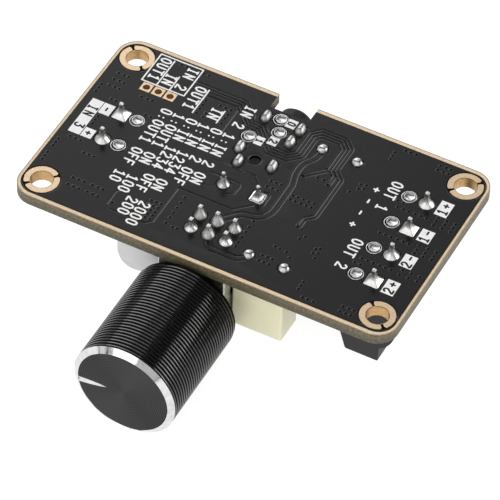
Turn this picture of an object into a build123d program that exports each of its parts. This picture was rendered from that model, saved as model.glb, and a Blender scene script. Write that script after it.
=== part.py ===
from build123d import *
import os
from math import cos, radians, sin

os.makedirs("parts", exist_ok=True)

# Stereo amplifier board, in millimetres. Its solder side faces up.
# The origin is the centre of the four mounting holes, on the solder face.
# +X points to the output terminals, +Y to the audio socket, -Y to the knob.

# Circuit board
BOARD_LENGTH = 54.4
BOARD_WIDTH = 32.0
BOARD_T = 1.6
BOARD_CORNER_R = 3.0
MOUNT_SPACING_X = 48.26
MOUNT_SPACING_Y = 25.40
MOUNT_HOLE_R = 1.5
MOUNT_RING_R = 2.36
PLATING_T = 0.06
RING_GAP = 0.32
NOTCH_X = -1.73
NOTCH_WIDTH = 5.75
NOTCH_DEPTH = 2.75
NOTCH_CORNER_R = 0.4
HOLE_PLAY = 0.25

# Header pads
HEADER_X = -18.68
HEADER_Y = 8.54
HEADER_PITCH = 1.76
HEADER_HOLE_R = 0.5
HEADER_PAD = 1.5

# Screw terminals
PITCH = 5.08
OUTPUT_X = 21.09
OUTPUT_Y = -0.145
POWER_X = -20.86
POWER_Y = -0.04
BLOCK_HEIGHT = 9.8
BLOCK_GAP = 0.06
BLOCK_BACK = 4.1
BLOCK_FRONT = 4.4
TOWER_BACK = 2.25
TOWER_FRONT = 2.45
BACK_KNEE = 3.6
HOOD_LOW = 4.6
HOOD_HIGH = 7.4
HOOD_BULGE_U = 0.2
HOOD_BULGE_H = 0.3
BLOCK_EDGE_R = 0.3
SCREW_OFFSET = 0.1
POLE_WIDTH = 4.16
FLOOR_T = 0.7
WALL_BACK = 2.35
WALL_FRONT = 2.05
CAGE_PLAY = 0.08
CAGE_SIDE = 0.55
CAGE_FLOOR = 0.6
CAGE_NUT = 1.4
CAGE_LIFT = 0.05
CAGE_LENGTH = 3.6
WIRE_GAP = 2.4
WIRE_WINDOW = 3.4
FUNNEL = 0.45
CLAMP_TRAVEL = 1.8
SCREW_R = 1.25
SCREW_PLAY = 0.05
SCREW_HEAD_R = 1.8
SCREW_HEAD_H = 1.3
SCREW_SLOT_W = 0.6
SCREW_SLOT_D = 0.7
HEAD_PLAY = 0.1
CONTACT_T = 0.5
CONTACT_WIDTH = 2.7
CONTACT_ROOM = 0.2
PIN_BACK_T = 0.4
PIN_SIDE = 0.56
PIN_TIP_Z = 2.2
PIN_TIP_R = 0.16

# Wire pads
WIRE_PAD_R = 1.02
WIRE_HOLE_R = 0.6
OUTPUT_WIRE_X = 18.6
POWER_WIRE_X = -18.53
SOCKET_WIRES = [(-2.21, 11.80), (-1.31, 9.54), (-4.47, 7.08)]

# Potentiometer
POT_X = -0.83
POT_FRONT_Y = -15.6
POT_WIDTH = 9.6
POT_HEIGHT = 11.6
POT_STANDOFF = 0.2
SHAFT_DEPTH = 6.12
POT_PIN_PITCH = 2.5
POT_ROW_Y = [-10.88, -8.38]
POT_PIN_W = 0.5
POT_PIN_T = 0.6
POT_PIN_TIP_Z = 1.9
POT_PIN_TIP_R = 0.15
POT_HOLE_R = 0.6
FRAME_T = 0.4
FRAME_BEND_R = 0.32
FRAME_WING = 1.9
FRAME_STRAP = 3.2
FRAME_TAB = 2.6
POT_CORNER_R = 1.0
WAFER_T = 0.8
COVER_T = 1.6
CUP_WALL = 0.9
BUSHING_R = 3.5
BUSHING_LENGTH = 5.0
FLANGE_R = 4.1
FLANGE_T = 1.0
SHAFT_R = 3.0
SHAFT_PLAY = 0.05
SHAFT_REACH = 14.4
SHAFT_FLAT = 1.5
SHAFT_CHAMFER = 0.4
FLAT_LENGTH = 8.5
TANG = 2.6
TANG_PLAY = 0.03
ROTOR_R = 3.2
ROTOR_T = 0.9
ROTOR_GAP = 0.3
WIPER_RADII = (2.3, 2.9)
WIPER_R = 0.2
WIPER_PLAY = 0.05
WAFER_BORE_R = 2.2

# Knob
KNOB_R = 7.22
KNOB_LENGTH = 16.96
KNOB_GAP = 0.83
KNOB_CHAMFER_R = 0.79
KNOB_CHAMFER_Y = 0.57
KNOB_WALL = 1.2
KNOB_FRONT_T = 1.9
KNOB_REAR_R = 0.15
POINTER_ANGLE = 187.6
POINTER_INNER = 2.4
POINTER_WIDTH = 0.6
POINTER_DEPTH = 0.25
INSERT_R = 4.3
INSERT_PLAY = 0.02
INSERT_RIBS = 6
INSERT_RIB_W = 1.0
INSERT_REAR_GAP = 0.4

# Audio socket
JACK_X = -1.83
JACK_WIDTH = 6.2
JACK_HEIGHT = 5.0
JACK_REAR_Y = 1.4
JACK_BODY_Y = 13.2
JACK_NOSE_Y = 16.31
JACK_NOSE_R = 2.5
JACK_BORE_R = 1.8
JACK_BORE_FLOOR = 1.0
JACK_EDGE = 0.3
PEG_R = 0.7
PEG_Y = 3.77
PEG_TIP_Z = -0.2
CONTACT_STRIP_T = 0.3
CONTACT_STRIP_W = 1.0
STRIP_PLAY = 0.06
STRIP_SEAT = 0.2
JACK_PIN_TIP_Z = 0.9
SLEEVE_Y = 11.30
SLEEVE_PINS_X = [-4.12, 0.95]
JACK_SHELF = 1.45
SIDE_PINS = {
    "jack_ring_spring": (0.75, 8.69, 1.7, JACK_HEIGHT),
    "jack_ring_switch": (0.75, 3.67, 2.2, JACK_HEIGHT),
    "jack_tip_spring": (-4.57, 4.77, 3.6, JACK_HEIGHT),
    "jack_tip_switch": (-3.57, 2.46, 1.2, JACK_SHELF),
}

# Film capacitors
FILM_LENGTH = 7.2
FILM_WIDTH = 4.5
FILM_HEIGHT = 9.65
FILM_EDGE_R = 0.35
FILM_FOOT = 0.4
FILM_FOOT_INSET = 0.8
FILM_PITCH = 5.0
FILM_PLACES = {"rear": (7.50, 9.69), "front": (7.75, -11.40)}
FILM_LEAD_R = 0.3
FILM_LEAD_DEPTH = 2.4
FILM_TIP_Z = 0.45

# Radial electrolytic capacitor
RADIAL_X = -0.86
RADIAL_Y = -2.07
RADIAL_R = 3.15
RADIAL_HEIGHT = 11.5
RADIAL_PITCH = 5.0
RADIAL_LEAD_R = 0.28
RADIAL_LEAD_INNER = 1.76
RADIAL_TIP_Z = 2.2
RADIAL_TIP_R = 0.14
RADIAL_STANDOFF = 0.6
RADIAL_BEAD = 0.3
RADIAL_BEAD_H = 2.4
RADIAL_BEAD_HALF = 0.5
RADIAL_EDGE_R = 0.5
BUNG_R = 2.6
BUNG_T = 1.4

# Surface-mount capacitor
CHIP_CAN_X = -11.45
CHIP_CAN_Y = -7.3
CHIP_CAN_R = 4.0
CHIP_CAN_HEIGHT = 10.5
CHIP_CAN_EDGE_R = 0.8
CHIP_CAN_BEAD = 0.3
CHIP_CAN_BEAD_H = 1.9
CHIP_CAN_BEAD_HALF = 0.6
CHIP_CAN_FOOT_R = 0.3
CHIP_BASE = 8.3
CHIP_BASE_T = 0.9
CHIP_BASE_RIM = 0.8
CHIP_BASE_CUT = 1.6
CHIP_TAB_W = 0.9
CHIP_TAB_T = 0.2
CHIP_TAB_REACH = 0.7
CHIP_TAB_INNER = 1.0

# Amplifier chip
CHIP_X = 9.4
CHIP_Y = -1.0
CHIP_LENGTH = 9.9
CHIP_WIDTH = 3.9
CHIP_T = 1.5
CHIP_STANDOFF = 0.12
CHIP_PITCH = 1.27
CHIP_ROW = 8
CHIP_SPAN = 6.0
CHIP_LEG_W = 0.42
CHIP_LEG_T = 0.2
CHIP_FOOT = 0.6
CHIP_DRAFT = 0.25
CHIP_DOT_INSET = 1.0
CHIP_DOT_R = 0.4
CHIP_DOT_DEPTH = 0.1

# Small chip parts: length, width, height and end length
RESISTOR_SIZE = (1.6, 0.8, 0.45, 0.3)
CERAMIC_SIZE = (2.0, 1.25, 1.0, 0.4)
RESISTORS = [(-14.0, 7.5), (-14.0, 9.5), (-10.0, 9.5), (-10.0, 7.5), (-14.0, 5.0), (3.2, 14.0), (15.0, 6.4)]
CERAMICS = [(-9.0, 1.0), (-9.0, 3.2), (-14.0, 0.5), (14.6, 9.2), (14.6, -6.4), (4.6, -5.0), (12.6, -5.0)]

# Solder. A joint rises from its foot over a shoulder to its neck, given as shares of its size.
JOINT_FOOT_H = 0.15
SHOULDER_SHARE = (0.7, 0.55)
NECK_SHARE = 0.5
SQUARE_NECK_SHARE = 0.24
FILM_SHOULDER_SHARE = (0.85, 0.6)
FILM_NECK_SHARE = 0.45
JACK_NECK_SHARE = (0.5, 0.6)
DISH_RIM = (0.2, 0.18)
DISH_EDGE_H = 0.1
DISH_FLOOR_H = 0.02
PAD_R = 1.02
PAD_SIDE = 2.05
JOINT_H = 1.25
POT_PAD_R = 0.9
POT_JOINT_H = 1.2
FILM_PAD_R = 0.76
FILM_JOINT_H = 0.6
RADIAL_PAD_R = 0.9
RADIAL_PAD_SIDE = 1.9
RADIAL_JOINT_H = 0.9
JACK_PAD = (1.25, 2.2)
JACK_JOINT_H = 0.7

# Places that follow from the sizes above
SHAFT_Z = -BOARD_T - SHAFT_DEPTH
KNOB_REAR_Y = POT_FRONT_Y - KNOB_GAP
KNOB_FACE_Y = KNOB_REAR_Y - KNOB_LENGTH
OUTPUT_PINS_Y = [OUTPUT_Y + PITCH * (i - 1.5) for i in range(4)]
POWER_PINS_Y = [POWER_Y + PITCH * (i - 0.5) for i in range(2)]
JACK_Z = -BOARD_T - JACK_HEIGHT / 2
PLATE_H = FLOOR_T + CAGE_LIFT + CAGE_FLOOR + WIRE_GAP
NUT_H = PLATE_H + CONTACT_T + CONTACT_ROOM
NUT_TOP_H = NUT_H + CAGE_NUT
SHOULDER_H = NUT_TOP_H + CLAMP_TRAVEL + HEAD_PLAY
POT_PINS = [(POT_X + POT_PIN_PITCH * (i - 1), y) for y in POT_ROW_Y for i in range(3)]
FILM_PINS = [(x + side * FILM_PITCH / 2, y) for x, y in FILM_PLACES.values() for side in (-1, 1)]
RADIAL_PINS = [(RADIAL_X - RADIAL_PITCH / 2, RADIAL_Y), (RADIAL_X + RADIAL_PITCH / 2, RADIAL_Y)]
JACK_PINS = [(x, SLEEVE_Y) for x in SLEEVE_PINS_X] + [place[:2] for place in SIDE_PINS.values()]


def below(height):
    """Z of a height measured down from the component face."""
    return -BOARD_T - height


def brick(x0, x1, y0, y1, z0, z1):
    """A box between two corners, given in either order."""
    centre = Pos((x0 + x1) / 2, (y0 + y1) / 2, (z0 + z1) / 2)
    return centre * Box(abs(x1 - x0), abs(y1 - y0), abs(z1 - z0))


def rod_z(x, y, z0, z1, radius):
    return Pos(x, y, (z0 + z1) / 2) * Cylinder(radius, abs(z1 - z0))


def rod_y(x, z, y0, y1, radius):
    return Pos(x, (y0 + y1) / 2, z) * Rot(90, 0, 0) * Cylinder(radius, abs(y1 - y0))


def across_y(outline, y0, y1):
    """An outline drawn in X and Z, drawn out from y0 to y1."""
    return extrude(Plane(origin=(0, y1, 0), x_dir=(1, 0, 0), z_dir=(0, -1, 0)) * outline, amount=y1 - y0)


def turned_y(points, x, z):
    """A profile of (y, radius) points turned about an axis along Y through x and z."""
    outline = make_face(Polyline([(x + radius, y) for y, radius in points], close=True))
    return Pos(0, 0, z) * revolve(outline, Axis((x, 0, 0), (0, 1, 0)))


def turned_z(points, x, y):
    """A profile of (radius, z) points turned about an upright axis."""
    outline = make_face(Polyline([(radius, z) for radius, z in points], close=True))
    return Pos(x, y, 0) * revolve(Plane.XZ * outline, Axis.Z)


def mount_places():
    return [(sx * MOUNT_SPACING_X / 2, sy * MOUNT_SPACING_Y / 2) for sx in (-1, 1) for sy in (-1, 1)]


def header_places():
    return [(HEADER_X + HEADER_PITCH * (i - 1), HEADER_Y) for i in range(3)]


def wire_pad_places():
    outputs = [(OUTPUT_WIRE_X, y) for y in OUTPUT_PINS_Y]
    supply = [(POWER_WIRE_X, y) for y in POWER_PINS_Y]
    return outputs + supply + SOCKET_WIRES


# Circuit board with every hole drilled through
def circuit_board():
    outline = RectangleRounded(BOARD_LENGTH, BOARD_WIDTH, BOARD_CORNER_R)
    notch = Pos(NOTCH_X, BOARD_WIDTH / 2) * Rectangle(NOTCH_WIDTH, 2 * NOTCH_DEPTH)
    outline -= fillet(notch.vertices().group_by(Axis.Y)[0], NOTCH_CORNER_R)
    for x, y in mount_places():
        outline -= Pos(x, y) * Circle(MOUNT_HOLE_R + PLATING_T)
    for x, y in header_places():
        outline -= Pos(x, y) * Circle(HEADER_HOLE_R)
    for y in OUTPUT_PINS_Y:
        outline -= Pos(OUTPUT_X, y) * Circle(PIN_SIDE / 2 + HOLE_PLAY)
    for y in POWER_PINS_Y:
        outline -= Pos(POWER_X, y) * Circle(PIN_SIDE / 2 + HOLE_PLAY)
    for x, y in wire_pad_places():
        outline -= Pos(x, y) * Circle(WIRE_HOLE_R)
    for x, y in POT_PINS:
        outline -= Pos(x, y) * Circle(POT_HOLE_R)
    for x, y in FILM_PINS:
        outline -= Pos(x, y) * Circle(FILM_LEAD_R + HOLE_PLAY / 2)
    for x, y in RADIAL_PINS:
        outline -= Pos(x, y) * Circle(RADIAL_LEAD_R + HOLE_PLAY / 2)
    for x, y in JACK_PINS:
        outline -= Pos(x, y) * SlotOverall(CONTACT_STRIP_W + HOLE_PLAY, CONTACT_STRIP_T + HOLE_PLAY, 90)
    outline -= Pos(JACK_X, PEG_Y) * Circle(PEG_R + HOLE_PLAY / 2)
    return Pos(0, 0, -BOARD_T) * extrude(outline, amount=BOARD_T)


# Corner rings: a plated hole wall, and two C halves on the solder face
def mounting_rings():
    rings = []
    for x, y in mount_places():
        wall = Circle(MOUNT_HOLE_R + PLATING_T) - Circle(MOUNT_HOLE_R)
        rings.append(Pos(x, y, -BOARD_T) * extrude(wall, amount=BOARD_T))
        ring = Circle(MOUNT_RING_R) - Circle(MOUNT_HOLE_R)
        turn = 45 if x * y > 0 else 135
        ring -= Rot(0, 0, turn) * Rectangle(3 * MOUNT_RING_R, RING_GAP)
        rings.append(Pos(x, y, 0) * extrude(ring, amount=PLATING_T))
    return rings


def header_pads():
    pad = Rectangle(HEADER_PAD, HEADER_PAD) - Circle(HEADER_HOLE_R)
    return [Pos(x, y, 0) * extrude(pad, amount=PLATING_T) for x, y in header_places()]


# One two-way screw terminal. side is 1 where the wires enter from +X, and -1 from -X.
# u runs from the pin towards the wires, and h down from the component face.
def terminal_point(pin_x, side, u, h):
    return (pin_x + side * u, below(h))


def terminal_housing(pin_x, pins_y, side):
    profile = [
        (-BLOCK_BACK, 0),
        (-BLOCK_BACK, BACK_KNEE),
        (-TOWER_BACK, BLOCK_HEIGHT),
        (TOWER_FRONT, BLOCK_HEIGHT),
        (TOWER_FRONT, HOOD_HIGH),
    ]
    path = Polyline([terminal_point(pin_x, side, u, h) for u, h in profile])
    hood_u = (TOWER_FRONT + BLOCK_FRONT) / 2 + HOOD_BULGE_U
    hood_h = (HOOD_HIGH + HOOD_LOW) / 2 + HOOD_BULGE_H
    hood = ThreePointArc(
        terminal_point(pin_x, side, TOWER_FRONT, HOOD_HIGH),
        terminal_point(pin_x, side, hood_u, hood_h),
        terminal_point(pin_x, side, BLOCK_FRONT, HOOD_LOW),
    )
    foot = Polyline([terminal_point(pin_x, side, u, h) for u, h in
                     [(BLOCK_FRONT, HOOD_LOW), (BLOCK_FRONT, 0), (-BLOCK_BACK, 0)]])
    length = 2 * PITCH - BLOCK_GAP
    middle = (pins_y[0] + pins_y[1]) / 2
    body = across_y(make_face(path + hood + foot), middle - length / 2, middle + length / 2)
    top_edges = body.edges().filter_by(Axis.Y).group_by(Axis.Z)[0]
    body = fillet(top_edges, BLOCK_EDGE_R)
    for y in pins_y:
        body -= pole_cavity(pin_x, y, side)
    return body


def pole_cavity(pin_x, y, side):
    """The room for one clamp, its wire window, its screw hole and the slot for its pin."""
    half = POLE_WIDTH / 2
    room = brick(pin_x - side * WALL_BACK, pin_x + side * WALL_FRONT, y - half, y + half,
                 below(FLOOR_T), below(SHOULDER_H))
    window_low = FLOOR_T + CAGE_LIFT
    window_half = WIRE_WINDOW / 2
    window = brick(pin_x + side * WALL_FRONT, pin_x + side * BLOCK_FRONT, y - window_half, y + window_half,
                   below(window_low), below(PLATE_H))
    mouth = Plane(origin=(pin_x + side * BLOCK_FRONT, y, below((window_low + PLATE_H) / 2)),
                  x_dir=(0, 1, 0), z_dir=(side, 0, 0))
    tall = PLATE_H - window_low
    wide = Rectangle(WIRE_WINDOW + 2 * FUNNEL, tall + FUNNEL)
    narrow = Rectangle(WIRE_WINDOW, tall)
    funnel = loft([mouth.offset(-2 * FUNNEL) * narrow, mouth * wide])
    screw_x = pin_x + side * SCREW_OFFSET
    screw_hole = rod_z(screw_x, y, below(SHOULDER_H), below(BLOCK_HEIGHT), SCREW_HEAD_R + HEAD_PLAY)
    slot_half = CONTACT_WIDTH / 2 + HEAD_PLAY
    slot = brick(pin_x - side * WALL_BACK, pin_x + side * PIN_SIDE, y - slot_half, y + slot_half,
                 below(0), below(FLOOR_T))
    return [room, window, funnel, screw_hole, slot]


def terminal_pin(pin_x, y, side):
    """Contact plate inside the clamp, its back, its foot and the leg through the board."""
    half = CONTACT_WIDTH / 2
    back = -WALL_BACK + HEAD_PLAY / 2
    plate = brick(pin_x + side * back, pin_x + side * (SCREW_OFFSET + CAGE_LENGTH / 2), y - half, y + half,
                  below(PLATE_H), below(PLATE_H + CONTACT_T))
    foot_h = FLOOR_T - PIN_BACK_T - HEAD_PLAY
    upright = brick(pin_x + side * back, pin_x + side * (back + PIN_BACK_T), y - half, y + half,
                    below(foot_h), below(PLATE_H + CONTACT_T))
    foot = brick(pin_x + side * back, pin_x + side * PIN_SIDE / 2, y - half, y + half,
                 below(foot_h), below(foot_h + PIN_BACK_T))
    leg = brick(pin_x - PIN_SIDE / 2, pin_x + PIN_SIDE / 2, y - PIN_SIDE / 2, y + PIN_SIDE / 2,
                below(foot_h + PIN_BACK_T / 2), PIN_TIP_Z)
    leg = fillet(leg.edges().filter_by(Axis.Z) + leg.edges().group_by(Axis.Z)[-1], PIN_TIP_R)
    return plate + upright + foot + leg


def clamp_cage(pin_x, y, side):
    """A square steel loop round the contact plate, threaded for the screw."""
    screw_x = pin_x + side * SCREW_OFFSET
    half = POLE_WIDTH / 2 - CAGE_PLAY
    low = FLOOR_T + CAGE_LIFT
    reach = CAGE_LENGTH / 2
    loop = brick(screw_x - reach, screw_x + reach, y - half, y + half, below(low), below(NUT_TOP_H))
    inner = half - CAGE_SIDE
    loop -= brick(screw_x - reach, screw_x + reach, y - inner, y + inner, below(low + CAGE_FLOOR), below(NUT_H))
    return loop - rod_z(screw_x, y, below(NUT_H), below(NUT_TOP_H), SCREW_R + SCREW_PLAY)


def clamp_screw(pin_x, y, side):
    """A slotted screw whose tip bears on the contact plate."""
    screw_x = pin_x + side * SCREW_OFFSET
    tip = below(PLATE_H + CONTACT_T + SCREW_PLAY)
    head_low = below(SHOULDER_H + SCREW_PLAY)
    head_top = below(SHOULDER_H + SCREW_PLAY + SCREW_HEAD_H)
    screw = rod_z(screw_x, y, tip, head_low, SCREW_R) + rod_z(screw_x, y, head_low, head_top, SCREW_HEAD_R)
    screw = chamfer(screw.edges().group_by(Axis.Z)[0], SCREW_PLAY * 3)
    slot = brick(screw_x - SCREW_HEAD_R, screw_x + SCREW_HEAD_R, y - SCREW_SLOT_W / 2, y + SCREW_SLOT_W / 2,
                 head_top, head_top + SCREW_SLOT_D)
    return screw - slot


# Potentiometer: a bent steel frame round a stack of moulded housings and track wafers
def pot_layers():
    """Y of each face of the stack, from the frame's front to the rear cover's back."""
    front_wafer = POT_ROW_Y[0] - WAFER_T / 2
    rear_wafer = POT_ROW_Y[1] - WAFER_T / 2
    return {
        "plate": POT_FRONT_Y,
        "stack": POT_FRONT_Y + FRAME_T,
        "front_wafer": front_wafer,
        "middle": front_wafer + WAFER_T,
        "rear_wafer": rear_wafer,
        "cover": rear_wafer + WAFER_T,
        "back": rear_wafer + WAFER_T + COVER_T,
    }


def pot_outline(width):
    """The stack's outline in X and Z, rounded where it is furthest from the board."""
    middle_h = (POT_HEIGHT + POT_STANDOFF) / 2
    outline = Pos(POT_X, below(middle_h)) * Rectangle(width, POT_HEIGHT - POT_STANDOFF)
    return fillet(outline.vertices().group_by(Axis.Y)[0], POT_CORNER_R)


def pot_slice(y0, y1):
    return across_y(pot_outline(POT_WIDTH - 2 * FRAME_T), y0, y1)


def pot_frame():
    """A sheet bent round the front of the stack, with two straps that hook behind it."""
    at = pot_layers()
    wing_end = at["plate"] + FRAME_WING
    plan = Pos(POT_X, (at["plate"] + wing_end) / 2) * Rectangle(POT_WIDTH, FRAME_WING)
    plan = fillet(plan.vertices().group_by(Axis.Y)[0], FRAME_BEND_R)
    plan -= Pos(POT_X, (at["stack"] + wing_end) / 2) * Rectangle(POT_WIDTH - 2 * FRAME_T, FRAME_WING - FRAME_T)
    frame = Pos(0, 0, below(POT_HEIGHT)) * extrude(plan, amount=POT_HEIGHT - POT_STANDOFF)
    frame &= across_y(pot_outline(POT_WIDTH), at["plate"], wing_end)
    frame -= rod_y(POT_X, SHAFT_Z, at["plate"], at["stack"], BUSHING_R + SHAFT_PLAY)
    strap_low = SHAFT_Z - FRAME_STRAP / 2
    strap_high = SHAFT_Z + FRAME_STRAP / 2
    for side in (-1, 1):
        outer = POT_X + side * POT_WIDTH / 2
        frame += brick(outer - side * FRAME_T, outer, at["stack"], at["back"] + FRAME_T, strap_low, strap_high)
        frame += brick(outer - side * FRAME_T, outer - side * FRAME_TAB, at["back"], at["back"] + FRAME_T,
                       strap_low, strap_high)
    return frame


def pot_bushing():
    at = pot_layers()
    profile = [
        (at["stack"], SHAFT_R + SHAFT_PLAY),
        (at["stack"] + FLANGE_T, SHAFT_R + SHAFT_PLAY),
        (at["stack"] + FLANGE_T, FLANGE_R),
        (at["stack"], FLANGE_R),
        (at["stack"], BUSHING_R),
        (at["plate"] - BUSHING_LENGTH + SHAFT_CHAMFER, BUSHING_R),
        (at["plate"] - BUSHING_LENGTH, BUSHING_R - SHAFT_CHAMFER),
        (at["plate"] - BUSHING_LENGTH, SHAFT_R + SHAFT_PLAY),
    ]
    return turned_y(profile, POT_X, SHAFT_Z)


def pot_front_housing():
    at = pot_layers()
    cup = pot_slice(at["stack"], at["front_wafer"])
    cup -= rod_y(POT_X, SHAFT_Z, at["stack"], at["stack"] + FLANGE_T, FLANGE_R)
    return cup - rod_y(POT_X, SHAFT_Z, at["stack"] + FLANGE_T, at["front_wafer"], ROTOR_R + ROTOR_GAP)


def pot_middle_housing():
    at = pot_layers()
    cup = pot_slice(at["middle"], at["rear_wafer"])
    return cup - rod_y(POT_X, SHAFT_Z, at["middle"], at["rear_wafer"], ROTOR_R + ROTOR_GAP)


def pot_cover():
    at = pot_layers()
    cover = pot_slice(at["cover"], at["back"])
    return cover - rod_y(POT_X, SHAFT_Z, at["cover"], at["cover"] + COVER_T / 2, WAFER_BORE_R)


def pot_wafer(row):
    """A track board with a hole for the shaft's tang."""
    at = pot_layers()
    face = at["front_wafer"] if row == 0 else at["rear_wafer"]
    wafer = pot_slice(face, face + WAFER_T)
    wafer -= rod_y(POT_X, SHAFT_Z, face, face + WAFER_T, WAFER_BORE_R)
    for i in range(3):
        x = POT_X + POT_PIN_PITCH * (i - 1)
        wafer -= brick(x - POT_PIN_W / 2, x + POT_PIN_W / 2, POT_ROW_Y[row] - POT_PIN_T / 2,
                       POT_ROW_Y[row] + POT_PIN_T / 2, below(POT_STANDOFF), below(POT_STANDOFF + CUP_WALL))
    return wafer


def pot_legs(row):
    legs = []
    for i in range(3):
        x = POT_X + POT_PIN_PITCH * (i - 1)
        leg = brick(x - POT_PIN_W / 2, x + POT_PIN_W / 2, POT_ROW_Y[row] - POT_PIN_T / 2,
                    POT_ROW_Y[row] + POT_PIN_T / 2, below(POT_STANDOFF + CUP_WALL), POT_PIN_TIP_Z)
        legs.append(fillet(leg.edges().group_by(Axis.Z)[-1], POT_PIN_TIP_R))
    return legs


def rotor_start(row):
    """Y where a rotor begins: just in front of its wafer."""
    at = pot_layers()
    wafer = at["front_wafer"] if row == 0 else at["rear_wafer"]
    return wafer - ROTOR_GAP - ROTOR_T


def pot_rotor(row):
    """A moulded disc on the tang, with a sprung wiper of two fingers."""
    start = rotor_start(row)
    disc = rod_y(POT_X, SHAFT_Z, start, start + ROTOR_T, ROTOR_R)
    hole = TANG / 2 + TANG_PLAY
    disc -= brick(POT_X - hole, POT_X + hole, start, start + ROTOR_T, SHAFT_Z - hole, SHAFT_Z + hole)
    finger_end = start + ROTOR_T + ROTOR_GAP - WIPER_PLAY
    for radius in WIPER_RADII:
        disc += rod_y(POT_X, SHAFT_Z + radius, start + ROTOR_T, finger_end, WIPER_R)
    return disc


def pot_shaft():
    """Round in the bushing, flat on one side in the knob, square through the rotors."""
    at = pot_layers()
    tip = at["plate"] - SHAFT_REACH
    seat = at["stack"] + FLANGE_T
    shaft = rod_y(POT_X, SHAFT_Z, tip, seat, SHAFT_R)
    shaft = chamfer(shaft.edges().group_by(Axis.Y)[0], SHAFT_CHAMFER)
    shaft -= brick(POT_X - SHAFT_R, POT_X + SHAFT_R, tip, tip + FLAT_LENGTH,
                   SHAFT_Z - SHAFT_FLAT, SHAFT_Z - SHAFT_R)
    tang_end = rotor_start(1) + ROTOR_T
    half = TANG / 2
    return shaft + brick(POT_X - half, POT_X + half, seat, tang_end, SHAFT_Z - half, SHAFT_Z + half)


# Knob: a turned shell over a ribbed insert
def knob_shell():
    inner = KNOB_R - KNOB_WALL
    floor_y = KNOB_FACE_Y + KNOB_FRONT_T
    profile = [
        (KNOB_FACE_Y, 0),
        (KNOB_FACE_Y, KNOB_R - KNOB_CHAMFER_R),
        (KNOB_FACE_Y + KNOB_CHAMFER_Y, KNOB_R),
        (KNOB_REAR_Y - KNOB_REAR_R, KNOB_R),
        (KNOB_REAR_Y, KNOB_R - KNOB_REAR_R),
        (KNOB_REAR_Y, inner),
        (floor_y, inner),
        (floor_y, 0),
    ]
    shell = turned_y(profile, POT_X, SHAFT_Z)
    return shell - knob_pointer()


def knob_pointer():
    """The cut in the face: open at the rim and drawn in to a point."""
    rim = KNOB_R - KNOB_CHAMFER_R / 2
    wide = POINTER_WIDTH / 2
    middle = (POINTER_INNER + rim) / 2
    blade = make_face(Polyline([
        (POINTER_INNER, 0),
        (middle, wide),
        (rim, wide),
        (rim, -wide),
        (middle, -wide),
    ], close=True))
    blade = Pos(POT_X, SHAFT_Z) * Rot(0, 0, POINTER_ANGLE) * blade
    return across_y(blade, KNOB_FACE_Y, KNOB_FACE_Y + POINTER_DEPTH)


def knob_insert():
    front = KNOB_FACE_Y + KNOB_FRONT_T
    rear = pot_layers()["plate"] - BUSHING_LENGTH - INSERT_REAR_GAP
    reach = KNOB_R - KNOB_WALL - INSERT_PLAY
    section = Circle(INSERT_R)
    for i in range(INSERT_RIBS):
        rib = Pos(reach / 2, 0) * Rectangle(reach, INSERT_RIB_W)
        section += Rot(0, 0, 360 / INSERT_RIBS * i) * rib
    section &= Circle(reach)
    bore = Circle(SHAFT_R + INSERT_PLAY)
    flat = SHAFT_FLAT + INSERT_PLAY
    bore -= Pos(0, -flat - SHAFT_R) * Rectangle(4 * SHAFT_R, 2 * SHAFT_R)
    tip = pot_layers()["plate"] - SHAFT_REACH
    insert = across_y(Pos(POT_X, SHAFT_Z) * section, front, rear)
    flat_end = tip + FLAT_LENGTH
    insert -= across_y(Pos(POT_X, SHAFT_Z) * bore, tip - INSERT_PLAY, flat_end)
    return insert - rod_y(POT_X, SHAFT_Z, flat_end, rear, SHAFT_R + INSERT_PLAY)


# Audio socket: a moulded body with strip contacts beside its bore
def jack_housing():
    half = JACK_WIDTH / 2
    body = brick(JACK_X - half, JACK_X + half, JACK_REAR_Y, JACK_BODY_Y, below(0), below(JACK_HEIGHT))
    body = chamfer(body.edges().filter_by(Axis.Z), JACK_EDGE)
    body += rod_y(JACK_X, JACK_Z, JACK_BODY_Y, JACK_NOSE_Y, JACK_NOSE_R)
    body = chamfer(body.edges().group_by(Axis.Y)[-1], JACK_EDGE)
    body += rod_z(JACK_X, PEG_Y, below(0), PEG_TIP_Z, PEG_R)
    body -= rod_y(JACK_X, JACK_Z, JACK_REAR_Y + JACK_BORE_FLOOR, JACK_NOSE_Y, JACK_BORE_R)
    for cut in sleeve_slots() + [strip_slot(*place) for place in SIDE_PINS.values()]:
        body -= cut
    return body


def sleeve_slots():
    """Room for the sleeve contact: two legs and the bridge on the far side of the bore."""
    half_w = CONTACT_STRIP_W / 2 + STRIP_PLAY
    half_t = CONTACT_STRIP_T / 2 + STRIP_PLAY
    y0 = SLEEVE_Y - half_w
    y1 = SLEEVE_Y + half_w
    left, right = SLEEVE_PINS_X
    legs = [brick(x - half_t, x + half_t, y0, y1, below(0), below(JACK_HEIGHT)) for x in SLEEVE_PINS_X]
    bridge = brick(left - half_t, right + half_t, y0, y1, below(JACK_HEIGHT - STRIP_SEAT - half_t),
                   below(JACK_HEIGHT))
    return legs + [bridge]


def jack_sleeve_contact():
    half_w = CONTACT_STRIP_W / 2
    half_t = CONTACT_STRIP_T / 2
    y0 = SLEEVE_Y - half_w
    y1 = SLEEVE_Y + half_w
    left, right = SLEEVE_PINS_X
    low = below(JACK_HEIGHT)
    bridge = brick(left - half_t, right + half_t, y0, y1, low + CONTACT_STRIP_T, low)
    for x in SLEEVE_PINS_X:
        bridge += brick(x - half_t, x + half_t, y0, y1, low, JACK_PIN_TIP_Z)
    return bridge


def strip_slot(x, y, run, depth):
    """Room for one side contact, as deep as the strip that it holds."""
    half_w = CONTACT_STRIP_W / 2 + STRIP_PLAY
    half_t = CONTACT_STRIP_T / 2 + STRIP_PLAY
    return brick(x - half_t, x + half_t, y - half_w, y + run + STRIP_PLAY, below(0), below(depth))


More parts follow.
